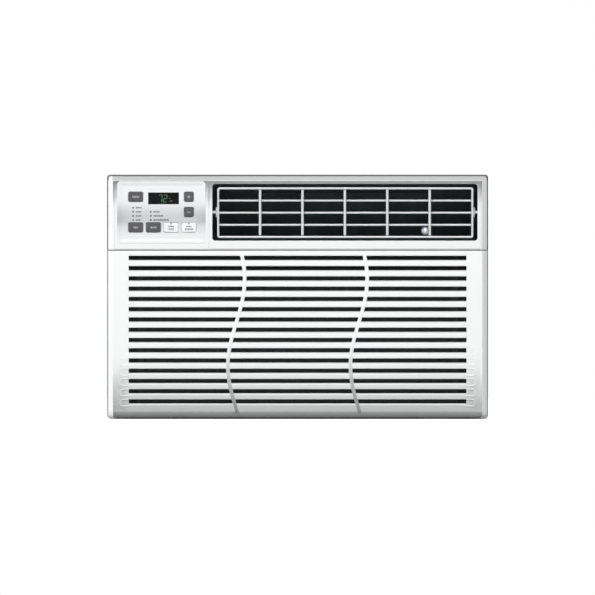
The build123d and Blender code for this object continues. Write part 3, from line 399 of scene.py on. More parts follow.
def inside_shade(made):
    """Share of the dark painted shade on the plate behind the intake slots and on the walls of the discharge
    opening.
    """
    intake = abs(made.x).below(0.2965) * made.z.below(0.261) * made.y.above(-0.2332)
    outlet = abs(made.x - 0.07455).below(0.211) * abs(made.z - 0.3258).below(0.047) * made.y.above(-0.2713)
    return intake + outlet


def silvered(colour):
    """Silver-white control cover: brushed along X, with a darker level band across the middle that is a
    painted reflection, deeper towards the sides, and painted shade on what faces up.
    """
    made = Finish("silvered_cover")
    brushed = made.noise(2600.0, 2.0, (0.02, 1.0, 1.0))
    # Painted reflection: a darker level band across the middle, deeper towards the sides of the cover.
    band = made.z.ramp(0.349, 0.316) * (made.z.ramp(0.280, 0.316) * 0.65 + made.z.ramp(0.3035, 0.3115) * 0.35)
    side = abs(made.x + 0.2145).ramp(0.045, 0.070)
    shade = made.blend(band * (0.7 + side * 0.3), colour, (0.42, 0.43, 0.445))
    shade = made.blend(brushed * 0.10, shade, (0.62, 0.63, 0.64))
    # Painted shade on what faces up, such as the low part of the rim.
    shade = made.blend(made.facing("Z").ramp(0.04, 0.2), shade, (0.68, 0.69, 0.69))
    made.bump(brushed, 0.000006)
    return made.set(Base_Color=shade, Roughness=brushed.ramp(0.2, 0.8, 0.34, 0.46), Specular_IOR_Level=0.3)


def metal(name, colour, roughness, scale=180.0, stretch=(1.0, 1.0, 1.0), dull=0.7, depth=0.00001):
    """Bare metal with duller patches and fine scratches."""
    made = Finish(name)
    patch = made.noise(14.0, 5.0)
    scratch = made.noise(scale, 3.0, stretch)
    shade = made.blend(patch.ramp(0.35, 0.7), colour, tone(colour, dull))
    made.bump(scratch, depth)
    rough = scratch.ramp(0.2, 0.8, roughness - 0.08, roughness + 0.12)
    return made.set(Base_Color=shade, Metallic=1.0, Roughness=rough)


def coated(name, colour, roughness):
    """Powder-coated sheet: orange peel, faint streaks of dust that run down, and rubbed patches."""
    made = Finish(name)
    peel = made.noise(700.0, 2.0)
    streak = made.noise(70.0, 4.0, (1.0, 1.0, 0.06)).ramp(0.5, 0.8)
    patch = made.noise(6.0, 4.0)
    shade = made.blend(patch * 0.5, colour, tone(colour, 0.93))
    shade = made.blend(streak * 0.12, shade, tone(colour, 0.72))
    made.bump(peel, 0.00004)
    return made.set(Base_Color=shade, Roughness=patch.ramp(0.3, 0.7, roughness - 0.05, roughness + 0.08))


def galvanised(name, lined=False):
    """Zinc-coated steel with a spangle of crystals; a lined sheet has foam on its front, coloured dark as
    painted shade of the unlit inside.
    """
    made = Finish(name)
    crystal = made.node("ShaderNodeTexVoronoi", {"Vector": made.place, "Scale": 120.0}, output="Color")
    bright = made.along(crystal, "X")
    shade = made.blend(bright, (0.46, 0.48, 0.49), (0.66, 0.68, 0.69))
    made.bump(made.noise(400.0, 3.0), 0.00001)
    rough = bright.ramp(0.0, 1.0, 0.38, 0.58)
    if lined:
        # Foam on what faces the front, its dark colour a painted shade of the unlit inside.
        foam = made.facing("Y").below(-0.5)
        return made.set(Base_Color=made.blend(foam, shade, (0.21, 0.27, 0.265)), Metallic=1 - foam,
                        Roughness=rough + foam * 0.4)
    return made.set(Base_Color=shade, Metallic=1.0, Roughness=rough)


def woven():
    """Dark filter net: threads crossing at right angles, 1 mm apart."""
    made = Finish("filter_net")
    across, along = ((place * (np.pi / MM)).sine() for place in (made.x, made.z))
    thread = (abs(across) * abs(along)) ** 0.5
    shade = made.blend(thread, (0.030, 0.034, 0.034), (0.006, 0.008, 0.008))
    made.bump(thread, 0.0002)
    return made.set(Base_Color=shade, Roughness=made.noise(200.0).ramp(0.3, 0.7, 0.7, 0.85))


def glowing(name, colour, strength):
    """Lit segment of the display, a little uneven."""
    made = Finish(name)
    shade = made.blend(made.noise(500.0), tone(colour, 0.8), colour)
    return made.set(Base_Color=tone(colour, 0.3), Emission_Color=shade, Emission_Strength=strength,
                    Roughness=0.4)


def finishes(colours):
    """Every finish by its name, with the colours of the settings."""
    colour = {name: tuple(getattr(colours, name)) for name in AirConditionerColours.__annotations__}
    # Layers of painted shade: on the grille, on the upper panel, and on the upper panel's solid, which also
    # gets the dark painted shade of its inside; the ribs get painted shade at their low ends.
    rail_painted_shade = [(painted_top_shade, 0.6, 0.35), (round_shade, 1.0, 0.03), (panel_end_shade, 1.0, 0.80)]
    panel_painted_shade = [(top_bevel_shade, 0.6, 0.37), (panel_edge_shade, 1.0, 0.05), (recess_shade, 1.0, 0.42)]
    lined_painted_shade = [*panel_painted_shade, (inside_shade, 1.0, 0.016)]
    return {
        "white_plastic": moulded("white_plastic", colour["grille"], 0.42, layers=rail_painted_shade),
        "rib_plastic": moulded("rib_plastic", colour["grille"], 0.42, layers=[(rib_low_shade, 1.0, 0.55)]),
        "upper_plastic": moulded("upper_plastic", colour["upper"], 0.42, layers=panel_painted_shade),
        "panel_body": moulded("panel_body", colour["upper"], 0.42, layers=lined_painted_shade),
        "louvre_plastic": moulded("louvre_plastic", colour["louvre"], 0.40),
        "duct_plastic": moulded("duct_plastic", (0.098, 0.124, 0.124), 0.6, gloss=0.1),
        "link_plastic": moulded("link_plastic", (0.017, 0.021, 0.021), 0.85, gloss=0.02),
        "panel_plastic": silvered(colour["cover"]),
        "dark_key": moulded("dark_key", colour["dark_key"], 0.5, gloss=0.15),
        "white_key": moulded("white_key", colour["white_key"], 0.40),
        "display_black": moulded("display_black", (0.004, 0.005, 0.005), 0.16, gloss=0.1),
        "lamp": moulded("lamp", (0.05, 0.055, 0.055), 0.25),
        "mark_light": moulded("mark_light", (0.42, 0.42, 0.43), 0.5),
        "mark_dark": moulded("mark_dark", (0.07, 0.07, 0.075), 0.5),
        "segment": glowing("segment", colour["digits"], 0.65),
        "segment_dim": glowing("segment_dim", (0.10, 0.13, 0.115), 0.4),
        "knob_silver": metal("knob_silver", colour["knob"], 0.44, 900.0, (1.0, 1.0, 0.1), 0.9, 0.000004),
        "cabinet_paint": coated("cabinet_paint", colour["cabinet"], 0.5),
        "galvanised": galvanised("zinc_steel"),
        "lined_steel": galvanised("lined_steel", lined=True),
        "screw_steel": metal("screw_steel", (0.60, 0.60, 0.61), 0.34),
        "fin_aluminium": metal("fin_aluminium", (0.72, 0.73, 0.74), 0.40, 300.0, (1.0, 1.0, 0.05)),
        "copper": metal("copper", (0.72, 0.36, 0.22), 0.34, 220.0, dull=0.6),
        "compressor_black": coated("compressor_black", (0.016, 0.016, 0.018), 0.38),
        "rubber": moulded("rubber", (0.02, 0.02, 0.02), 0.75, 600.0, 0.00008),
        "dark_plastic": moulded("dark_plastic", (0.026, 0.030, 0.030), 0.5),
        # Foam of the blower scroll, dark as painted shade of the unlit inside.
        "foam": moulded("foam", (0.045, 0.052, 0.052), 0.9, 260.0, 0.0003),
        "board_green": moulded("board_green", (0.02, 0.10, 0.05), 0.4),
        "filter_net": woven(),
    }


# Intake grille

def inward(profile):
    """Unit normals of a (y, z) line that runs down the front, pointing into the part."""
    along = np.gradient(profile, axis=0)
    normal = np.stack([-along[:, 1], along[:, 0]], -1)
    return normal / np.linalg.norm(normal, axis=1, keepdims=True)


def swing(y):
    """Height of the low back edge: an arc of radius SWING about the hinge, which clears the floor."""
    return HINGE_Z - np.sqrt(SWING ** 2 - (y - HINGE_Y) ** 2)


def grille_rim():
    """Side view of the grille's outside as (y, z), from its top edge down the face and chin to its back."""
    turn = np.linspace(0, np.pi / 2, 6)[:-1]
    top = np.stack([FRONT + 2 - 2 * np.sin(turn), GRILLE_TOP - 2 + 2 * np.cos(turn)], -1)
    z = np.concatenate([np.linspace(GRILLE_TOP - 2, 160, 60), np.linspace(159.5, 14, 220),
                        np.linspace(13.6, 2.8, 28)])
    face = np.stack([grille_face(z), z], -1)
    y = np.linspace(face[-1, 0] + 0.3, GRILLE_BACK, 4)
    return np.concatenate([[[FRONT + 3, GRILLE_TOP]], top, face, np.stack([y, swing(y)], -1)])


def bevel_line(start, end, soft_in=3.0, soft_out=7.0):
    """Places (x, depth) across a 45 degree bevel, with an arc at its inner and at its outer edge."""
    turn = np.radians(np.linspace(0, 45, 7))
    reach_in, reach_out = soft_in * np.tan(np.pi / 8), soft_out * np.tan(np.pi / 8)
    first = np.stack([start - reach_in + soft_in * np.sin(turn), soft_in * (1 - np.cos(turn))], -1)
    last = np.stack([end - soft_out * (1 - np.sin(turn + np.pi / 4)),
                     end - start + reach_out - soft_out * np.cos(turn + np.pi / 4)], -1)
    return np.concatenate([first, last])


def shell(outer, inner):
    """Closed skin between an outer and an inner grid of the same shape."""
    edges = [np.stack([outer[0], inner[0]]), np.stack([outer[-1], inner[-1]]),
             np.stack([outer[:, 0], inner[:, 0]]), np.stack([outer[:, -1], inner[:, -1]])]
    return [sheet(outer), sheet(inner)] + [sheet(edge) for edge in edges]


def end_panel(side, loop_height):
    """Face of the grille between its slots and an end rail, with a raised loop round the end of every slot.

    A loop is a ridge loop_height exp(-(d / 0.8)^2) at the distance d from the outline of a rounded rectangle,
    with a pocket two thirds as deep inside; both grow from nothing at z 125 to their full height at z 50.
    """
    rim = grille_rim()
    normal = np.where(rim[:, 1:] > GRILLE_TOP - 2.5, [1.0, 0.0], inward(rim))
    x = np.linspace(SLOT_END, RAIL + 0.1, 41)
    loops = [box_distance(x, rim[:, 1:], (255.0, z - 2.4), (24.5, 5.2), 4.4) for z in slot_heights()]
    loop = np.min(loops, 0)
    grown = np.clip((125.0 - rim[:, 1:]) / 75.0, 0, 1)
    push = grown * loop_height * (2 / 3 * np.clip(-loop, 0, 1) - np.exp(-(loop / 0.8) ** 2))
    outer = np.empty((*push.shape, 3))
    outer[..., 0] = x
    outer[..., 1:] = rim[:, None] + normal[:, None] * push[..., None]
    inner = outer.copy()
    inner[..., 1:] += 3.0 * normal[:, None]
    turned = np.array([side, 1, 1])
    return shell(outer * turned, inner * turned)


def end_rail(side):
    """Upright rail at an end of the grille, with a bevel outside and a round chin, as level rings.

    Chin: the front sinks by 12 - sqrt(12^2 - (12.2 - z)^2) below z 12.2. Low corner: the outside is drawn in
    by 5.5 - sqrt(5.5^2 - (6 - z)^2) below z 6.
    """
    turn = np.linspace(0, np.pi / 2, 6)
    z = np.concatenate([GRILLE_TOP - 2 + 2 * np.cos(turn), np.linspace(262, 14, 30),
                        0.5 + 12.5 * np.linspace(1, 0, 30) ** 1.5])
    sink = 12 - np.sqrt(144 - np.clip(12.2 - z, 0, 12) ** 2)
    sink[:6] = 2 - 2 * np.sin(turn)
    drawn = 5.5 - np.sqrt(5.5 ** 2 - np.clip(6 - z, 0, 5.5) ** 2)
    bevel = bevel_line(RAIL + 0.41, HALF, 1.0)
    share = (bevel[:, 0] - RAIL) / (HALF - RAIL)
    x = bevel[:, 0] - drawn[:, None] * share
    y = FRONT + sink[:, None] + bevel[:, 1]
    x = np.hstack([x, x[:, -1:], np.full((len(z), 1), RAIL)])
    y = np.hstack([y, np.full((len(z), 2), GRILLE_BACK)])
    return capped(np.stack([side * x, y, np.maximum(z[:, None], swing(y))], -1))


def slat(high, low, tall):
    """Bar between two slots, with an elliptic round on its top and on its bottom edge.

    Top: y = face + 2.6 (1 - cos t), z = high - tall (1 - sin t). Bottom: the same with 0.9 and 1.1.
    """
    turn = np.linspace(np.pi / 2, 0, 9)
    z = np.concatenate([high - tall * (1 - np.sin(turn)), np.linspace(high - tall, low + 1.1, 9)[1:-1],
                        low + 1.1 * (1 - np.sin(turn[::-2]))])
    sink = np.concatenate([2.6 * (1 - np.cos(turn)), np.zeros(7), 0.9 * (1 - np.cos(turn[::-2]))])
    front = np.stack([grille_face(z) + sink, z], -1)
    back = grille_face(np.array([low, high])) + 3.3
    return np.concatenate([front, np.stack([back, [low, high]], -1)])


def along_x(profile, ends):
    """Closed bar: a (y, z) profile carried along X between two ends."""
    return capped(np.stack([np.stack([np.full(len(profile), x), *profile.T], -1) for x in ends]))


def wavy_rib(centre, width, reach):
    """Upright rib that stands 0.5 mm proud of the face.

    Its middle line is x = centre + reach cos(2 pi (z - 220.8) / 274).
    """
    z = np.linspace(9, 261.5, 160)[:, None]
    middle = centre + reach * np.cos(2 * np.pi * (z - 220.8) / 274)
    side = width / 2
    x = np.array([-side, -side, 0.3 - side, 1 - side, 0, side - 1, side - 0.3, side, side])
    y = np.array([3.2, 0.5, -0.15, -0.45, -0.5, -0.45, -0.15, 0.5, 3.2])
    return capped(np.stack([middle + x, grille_face(z) + y, np.broadcast_to(z, (160, 9))], -1))


def grille_sheets(slat_round, loop_height):
    """Surfaces of the grille without its ribs: end panels and rails, slats and hinge ears."""
    slots = slot_heights()
    sheets = end_panel(1, loop_height) + end_panel(-1, loop_height) + [end_rail(1), end_rail(-1)]
    ends = (-SLOT_END - 0.2, SLOT_END + 0.2)
    for upper, lower in zip(slots[:-1], slots[1:]):
        sheets.append(along_x(slat(upper - SLOT_HALF, lower + SLOT_HALF, slat_round), ends))
    turn = np.linspace(np.pi / 2, 0, 6)
    low = slots[0] + SLOT_HALF
    z = np.concatenate([GRILLE_TOP - 2 + 2 * np.sin(turn), [262, 260, low + 1.1]])
    top = np.stack([FRONT + np.concatenate([2 - 2 * np.cos(turn), [0, 0, 0]]), z], -1)
    behind = [[FRONT + 0.3, low + 0.3], [FRONT + 1, low], [FRONT + 3, low], [FRONT + 3, GRILLE_TOP]]
    sheets.append(along_x(np.concatenate([top, behind]), ends))
    rim = grille_rim()
    chin_top = slots[-1] - SLOT_HALF
    chin = rim[rim[:, 1] < chin_top - slat_round - 0.2]
    round_top = slat(chin_top, CHIN, slat_round)[:9]
    inside = chin[::-1][2:] + 3 * inward(chin)[::-1][2:]
    sheets.append(along_x(np.concatenate([round_top, chin, inside]), ends))
    for x in ((270.0, 275.0), (-275.0, -270.0)):
        sheets.append(brick(x, (FRONT + 1.6, -268.0), (225.0, 260.0)))
    return sheets


# Upper face

def ring(x, z, radius, box_x, box_z):
    """Part of the upper face between a rounded opening and a box round it; every point lies on the cove."""
    rows = []
    for t in np.linspace(0, 1, 7) ** 1.5:
        edge = [np.add(np.multiply(a, 1 - t), np.multiply(b, t)) for a, b in ((x, box_x), (z, box_z))]
        rows.append(rounded(*edge, radius * (1 - t) + 0.01 * t, per_side=50, per_corner=9))
    outline = np.stack(rows)
    return np.stack([outline[..., 0], cove(outline[..., 1]) - SKIN, outline[..., 1]], -1)


def face_strip(x, z):
    """Straight part of the upper face between limits."""
    xs, zs = np.meshgrid(np.linspace(*x, 2), np.linspace(*z, 110))
    return np.stack([xs, cove(zs) - SKIN, zs], -1)


def arch(inset, radius, y):
    """Line up the left side of the upper panel, over its top and down its right side, at an inset."""
    side, top = HALF + SKIN - inset, TOP + SKIN - inset
    turn = np.linspace(np.pi, np.pi / 2, 9)
    z = np.linspace(PANEL_LOW, top - radius, 90)[:-1]
    left = np.stack([np.full(89, -side), z], -1)
    corner = np.stack([-side + radius + radius * np.cos(turn), top - radius + radius * np.sin(turn)], -1)
    half = np.concatenate([left, corner])
    line = np.concatenate([half, half[::-1] * [-1, 1]])
    return at_depth(line, y(line[:, 1]) if callable(y) else y)


def fascia_sheets():
    """Skin of the upper front: the face round its two openings, the lip, the bevel and the outer walls."""
    control = (-284.15, -144.85), (276.85, 374.65), 6.15
    discharge = (-134.4, 283.5), (281.0, 370.6), 4.7
    tall = (PANEL_LOW, LIP[1])
    grids = [ring(*control, (-288.0, -140.5), tall), ring(*discharge, (-138.5, 287.5), tall)]
    sheets = [sheet(grid, wrap_columns=True) for grid in grids]
    for x in ((-290.5, -288), (-140.5, -138.5), (287.5, 290.5)):
        sheets.append(sheet(face_strip(x, tall)))
    bevel = bevel_line(0.0, PANEL_BEVEL, 1.6, 1.8)
    lines = [arch(PANEL_BEVEL + 0.66, 1.2, lambda z: cove(z) - SKIN)]
    insets = PANEL_BEVEL - bevel[:, 0]
    corners = np.maximum(PANEL_CORNER - 3.3 * insets / PANEL_BEVEL, 1.2)
    lines += [arch(inset, corner, FRONT - SKIN + depth)
              for inset, corner, depth in zip(insets, corners, bevel[:, 1])]
    lines += [arch(0.0, PANEL_CORNER, y) for y in (-266.0, -250.0, -230.0, -205.2)]
    sheets.append(sheet(np.stack(lines)))
    throat = rounded(*discharge, per_side=50, per_corner=9)
    edges = [at_depth(throat, cove(throat[:, 1]) - SKIN), at_depth(throat, -271.2)]
    return sheets + [sheet(np.stack(edges), wrap_columns=True)]


# Controls

KEYS = {
    "power": (-254.9, 350.1, 23.0),
    "up": (-171.2, 350.1, 15.0),
    "down": (-171.2, 326.0, 15.0),
    "fan": (-254.9, 301.9, 23.0),
    "mode": (-227.0, 301.9, 23.0),
    "timer": (-199.1, 301.9, 23.0),
    "reset": (-171.2, 301.9, 23.0),
}
PALE_KEYS = ("timer", "reset")
KEY_TALL = 15.0
KEY_TOP = -280.0  # depth of the keys' tops
COVER = -278.95  # depth of the cover's field
DISPLAY = -279.12  # depth of the lit segments


def box_distance(x, z, middle, half, radius):
    """Signed distance of points from a rounded rectangle, below 0 inside it."""
    dx = np.abs(x - middle[0]) - half[0] + radius
    dz = np.abs(z - middle[1]) - half[1] + radius
    return np.hypot(np.maximum(dx, 0), np.maximum(dz, 0)) + np.minimum(np.maximum(dx, dz), 0) - radius


def gathered(low, high, edges):
    """Places from low to high, 0.2 mm apart within 3 mm of any edge and 1 mm apart elsewhere."""
    fine = np.linspace(low, high, round((high - low) / 0.2) + 1)
    kept = np.abs(fine[:, None] - edges).min(1) < 3.0
    kept[::5] = kept[-1] = True
    return fine[kept]


def cover_sheets(key_round):
    """Pillow-shaped cover: a raised rim, and a flat field that sinks 1.9 mm round every key.

    Field: y = COVER + 1.9 s, where s falls smoothly from 1 to 0 between 0.3 and 0.8 mm from a key.
    """
    x, z = (-284.1, -144.9), (276.9, 374.6)
    steps = [(0.0, -270.0), (0.0, -280.1), (0.1, -280.15), (0.5, -280.18), (1.6, -280.18), (3.0, -280.0),
             (4.6, -279.6), (6.0, -279.2), (7.2, COVER)]
    rim = np.stack([at_depth(drawn_in(x, z, inset, max(6.0 - inset, 0.01), 30, 10), y) for inset, y in steps])
    behind = np.broadcast_to(rim[0].mean(0), rim[0].shape)
    middles = np.array([key[:2] for key in KEYS.values()])
    halves = np.array([(width / 2, KEY_TALL / 2) for _, _, width in KEYS.values()])
    edges = np.concatenate([middles - halves, middles + halves])
    field_in = steps[-1][0]
    xs, zs = np.meshgrid(gathered(x[0] + field_in, x[1] - field_in, edges[:, 0]),
                         gathered(z[0] + field_in, z[1] - field_in, edges[:, 1]))
    gaps = [box_distance(xs, zs, middle, half, key_round) for middle, half in zip(middles, halves)]
    gap = np.min(gaps, 0)
    s = np.clip((0.8 - gap) / 0.5, 0, 1)
    field = np.stack([xs, COVER + 1.9 * s * s * (3 - 2 * s), zs], -1)
    return [sheet(np.concatenate([behind[None], rim]), wrap_columns=True), sheet(field)]


def key_sheets(name, key_round):
    """Key cap: rounded rectangles stacked along Y, each drawn in further, for a soft edge and a crown."""
    x, z, width = KEYS[name]
    steps = [(0.0, 3.6), (0.0, 0.8), (0.12, 0.4), (0.4, 0.15), (0.9, 0.04), (2.0, 0.0)]
    wide = (x - width / 2, x + width / 2)
    tall = (z - KEY_TALL / 2, z + KEY_TALL / 2)
    rows = [at_depth(drawn_in(wide, tall, inset, max(key_round - inset, 0.6), 3, 8), KEY_TOP + sunk)
            for inset, sunk in steps]
    return [capped(np.stack(rows))]


def ribbon(points, width, y):
    """Thin printed line of a width along (x, z) points, 0.08 mm thick."""
    line = np.asarray(points, float)
    along = np.gradient(line, axis=0)
    along /= np.linalg.norm(along, axis=1, keepdims=True)
    across = np.stack([-along[:, 1], along[:, 0]], -1) * width / 2
    sides = [(line + across, y), (line - across, y), (line - across, y + 0.08), (line + across, y + 0.08)]
    return capped(np.stack([at_depth(edge, depth) for edge, depth in sides], 1))


def arc(middle, radius, start, end, count=25):
    """Points of a circle between two angles in degrees."""
    turn = np.radians(np.linspace(start, end, count))
    return np.stack([middle[0] + radius * np.cos(turn), middle[1] + radius * np.sin(turn)], -1)


def dashes(x, z, widths, height, y, gap=0.6):
    """Row of little bars that starts at x."""
    starts = x + np.cumsum([0, *(np.array(widths[:-1]) + gap)])
    return [ribbon([(start, z), (start + width, z)], height, y) for start, width in zip(starts, widths)]


def centred_dashes(x, z, widths, height, y, gap=0.6):
    """Row of little bars with its middle at x."""
    return dashes(x - (sum(widths) + gap * (len(widths) - 1)) / 2, z, widths, height, y, gap)


# Rows of little bars on the keys: height above the key's middle, bar widths, bar height
KEY_BARS = {
    "power": [(0.0, (2.0, 1.6, 2.2, 1.5, 1.2), 2.5)],
    "fan": [(0.0, (1.7, 1.8, 1.8), 2.5)],
    "mode": [(0.0, (2.6, 1.7, 1.7, 1.6), 2.5)],
    "timer": [(1.5, (1.2, 1.6, 2.4, 1.4), 2.0), (-2.7, (1.8, 1.2, 1.6, 1.8), 2.0)],
    "reset": [(1.5, (1.8, 1.4, 2.0, 1.2), 2.0), (-2.7, (2.2, 1.4, 2.4, 1.6, 2.6), 2.0)],
}


def key_marks(name):
    """Printed sign of one key: a plus, a minus, or rows of little bars, with a notch on a pale key."""
    x, z, _ = KEYS[name]
    y = KEY_TOP - 0.07
    if name == "up":
        return [ribbon([(x - 2.3, z), (x + 2.3, z)], 1.2, y),
                ribbon([(x, z - 2.3), (x, z + 2.3)], 1.2, y - 0.01)]
    if name == "down":
        return [ribbon([(x - 2.6, z), (x + 2.6, z)], 1.2, y)]
    rows = [bar for up, widths, height in KEY_BARS[name]
            for bar in centred_dashes(x, z + up, widths, height, y)]
    if name in PALE_KEYS:
        rows.append(ribbon([(x, z + 4.9), (x, z + 7.0)], 2.4, y))
    return rows


def label_sheets():
    """Little bars beside the indicator lights."""
    y = COVER - 0.09
    rows = [(-254.6, 332.9, (2.4, 2.0, 1.2, 1.6)), (-254.6, 326.5, (1.8, 2.2, 1.6, 1.2)),
            (-254.6, 320.1, (2.2, 1.4, 1.2, 1.8)), (-254.6, 313.7, (1.6, 2.0, 2.2)),
            (-226.8, 326.5, (2.0, 1.8, 2.0, 1.8)), (-226.8, 320.1, (1.8, 2.6, 2.2, 3.0, 3.0)),
            (-226.8, 313.7, (2.6, 2.2, 2.6, 2.6, 3.0, 4.0, 3.4))]
    return [bar for x, z, widths in rows for bar in dashes(x, z, widths, 2.0, y)]


def digit(left, low, height, lit):
    """Seven-segment digit that leans to the right, about half as wide as high; lit names its segments."""
    half = height / 2
    width = 0.49 * height
    lean = 0.08
    ends = {"a": ((0, 2), (1, 2)), "b": ((1, 2), (1, 1)), "c": ((1, 1), (1, 0)), "d": ((0, 0), (1, 0)),
            "e": ((0, 1), (0, 0)), "f": ((0, 2), (0, 1)), "g": ((0, 1), (1, 1))}
    made = []
    for name in lit:
        pair = np.array([(left + width * a + lean * half * b, low + half * b) for a, b in ends[name]])
        pull = (pair[1] - pair[0]) / np.linalg.norm(pair[1] - pair[0]) * 0.5
        made.append(ribbon([pair[0] + pull, pair[1] - pull], 1.15, DISPLAY))
    return made


# Louvre

def louvre_sheets(rim, blade):
    """Tilting frame: a rounded rim, three level blades, side bosses and pivot stubs.

    The rim is a section (inset, depth) carried round a rounded rectangle.
    """
    x, y, z = (-126.7, 277.0), (-277.0, -247.0), (285.3, 365.1)
    section = [(0.0, y[1]), (0.0, y[0] + 1.2), (0.35, y[0] + 0.35), (1.2, y[0]), (rim - 1.2, y[0]),
               (rim - 0.35, y[0] + 0.35), (rim, y[0] + 1.2), (rim, y[1])]
    rows = [at_depth(drawn_in(x, z, inset, max(4.0 - inset, 0.4), 4, 9), depth) for inset, depth in section]
    sheets = [sheet(np.stack(rows), wrap_rows=True, wrap_columns=True)]
    cell = (z[1] - z[0] - 2 * rim - 3 * blade) / 4
    for i in range(3):
        low = z[0] + rim + cell + (cell + blade) * i
        profile = rounded((-258.5, -247.5), (low, low + blade), 1.3, 2, 6)
        sheets.append(along_x(profile, (x[0] + 2, x[1] - 2)))
    axis = np.array([-262.0, 325.8])
    for near, far, end in ((x[0] + 3.0, x[0] - 2.4, x[0] - 9.1), (x[1] - 3.0, x[1] + 2.4, x[1] + 9.1)):
        sheets.append(brick(sorted((near, far)), (-268.0, -256.0), (axis[1] - 7.75, axis[1] + 7.75), 1.0))
        sheets.append(along_x(axis + arc((0, 0), 2.5, 0, 360, 33)[:-1], (near, end)))
    return sheets


def ball(middle, radius):
    """Sphere as rings about the Y axis."""
    turn = np.linspace(0.02, np.pi - 0.02, 33)
    outline = arc((0, 0), 1.0, 0, 360, 49)[:-1]
    centre = np.array([middle[0], middle[2]])
    rows = [at_depth(centre + radius * np.sin(t) * outline, middle[1] - radius * np.cos(t)) for t in turn]
    return [capped(np.stack(rows))]


# Finishes of the CAD nodes that are shown as they are
NODE_FINISH = {
    "panel_body": ["front_panel"],
    "louvre_plastic": ["vane_1", "vane_2", "vane_3", "vane_4", "vane_5"],
    "display_black": ["display_lens"],
    "lamp": ["indicator_lights"],
    "cabinet_paint": ["cabinet_wrapper", "rear_guard"],
    "galvanised": ["base_pan", "control_box", "motor_bracket", "evaporator_plates", "condenser_plates"],
    "lined_steel": ["bulkhead"],
    "screw_steel": ["cabinet_screws", "panel_screws", "compressor_nuts", "grille_hinge_pins", "motor_shaft"],
    "fin_aluminium": ["evaporator_fins", "condenser_fins", "run_capacitor"],
    "copper": ["evaporator_bends", "condenser_bends", "suction_pipe", "discharge_pipe", "liquid_pipe",
               "filter_drier", "capillary_tube"],
    "compressor_black": ["compressor_shell", "suction_accumulator", "fan_motor"],
    "rubber": ["compressor_grommets", "cord_gland"],
    "duct_plastic": ["air_duct"],
    "link_plastic": ["vane_link"],
    "dark_plastic": ["filter_frame", "grille_catches", "blower_wheel", "condenser_fan", "fan_shroud",
                     "terminal_cover", "drain_tray", "temperature_sensor"],
    "foam": ["blower_scroll"],
    "board_green": ["control_board"],
    "filter_net": ["filter_mesh"],
}


class AirConditionerColours(bpy.types.PropertyGroup):
    """Colours of the pieces."""

    grille: bpy.props.FloatVectorProperty(
        name="Grille", description="Plastic of the intake grille and its ribs", default=(0.865, 0.87, 0.87),
        min=0.0, max=1.0, subtype="COLOR")
    upper: bpy.props.FloatVectorProperty(
        name="Upper panel", description="Plastic of the upper front", default=(0.81, 0.815, 0.815),
        min=0.0, max=1.0, subtype="COLOR")
    louvre: bpy.props.FloatVectorProperty(
        name="Louvre", description="Plastic of the louvre frame and the vanes", default=(0.62, 0.64, 0.64),
        min=0.0, max=1.0, subtype="COLOR")
    cover: bpy.props.FloatVectorProperty(
        name="Control cover", description="Silver-white of the control cover", default=(0.78, 0.79, 0.795),
        min=0.0, max=1.0, subtype="COLOR")
    dark_key: bpy.props.FloatVectorProperty(
        name="Dark keys", description="Plastic of the five dark keys", default=(0.085, 0.085, 0.09),
        min=0.0, max=1.0, subtype="COLOR")
    white_key: bpy.props.FloatVectorProperty(
        name="White keys", description="Plastic of the two white keys", default=(0.80, 0.80, 0.81),
        min=0.0, max=1.0, subtype="COLOR")
    digits: bpy.props.FloatVectorProperty(
        name="Digits", description="Light of the display's digits", default=(0.02, 0.14, 0.055),
        min=0.0, max=1.0, subtype="COLOR")
    knob: bpy.props.FloatVectorProperty(
        name="Knob", description="Silver of the vane knob", default=(0.37, 0.38, 0.39),
        min=0.0, max=1.0, subtype="COLOR")
    cabinet: bpy.props.FloatVectorProperty(
        name="Cabinet", description="Paint of the cabinet and the rear guard", default=(0.60, 0.61, 0.60),
        min=0.0, max=1.0, subtype="COLOR")


class AirConditionerSizes(bpy.types.PropertyGroup):
    """Sizes of the pieces."""

    rib_place: bpy.props.FloatProperty(
        name="Rib place", description="Distance of each wavy rib from the middle of the grille",
        default=0.0965, min=0.05, max=0.2, unit="LENGTH")
    rib_width: bpy.props.FloatProperty(
        name="Rib width", description="Width of a wavy rib", default=0.006,
        min=0.003, max=0.02, unit="LENGTH")
    rib_reach: bpy.props.FloatProperty(
        name="Rib reach", description="How far a wavy rib swings to each side", default=0.0132,
        min=0.0, max=0.04, unit="LENGTH")
    slat_round: bpy.props.FloatProperty(
        name="Slat round", description="Height of the round along the top edge of a slat", default=0.0034,
        min=0.0005, max=0.005, unit="LENGTH")
    loop_height: bpy.props.FloatProperty(
        name="Loop height", description="Height of the raised loops at the ends of the low slots",
        default=0.0006, min=0.0, max=0.0012, unit="LENGTH")
    key_round: bpy.props.FloatProperty(
        name="Key round", description="Radius of the corners of the keys", default=0.0025,
        min=0.0006, max=0.005, unit="LENGTH")
    digit_height: bpy.props.FloatProperty(
        name="Digit height", description="Height of the display's digits", default=0.011,
        min=0.004, max=0.013, unit="LENGTH")
    louvre_rim: bpy.props.FloatProperty(
        name="Louvre rim", description="Width of the louvre frame's rim", default=0.00325,
        min=0.0025, max=0.006, unit="LENGTH")
    blade: bpy.props.FloatProperty(
        name="Blade", description="Thickness of the louvre's level blades", default=0.0032,
        min=0.0027, max=0.006, unit="LENGTH")
    knob_radius: bpy.props.FloatProperty(
        name="Knob radius", description="Radius of the vane knob", default=0.0065,
        min=0.003, max=0.007, unit="LENGTH")


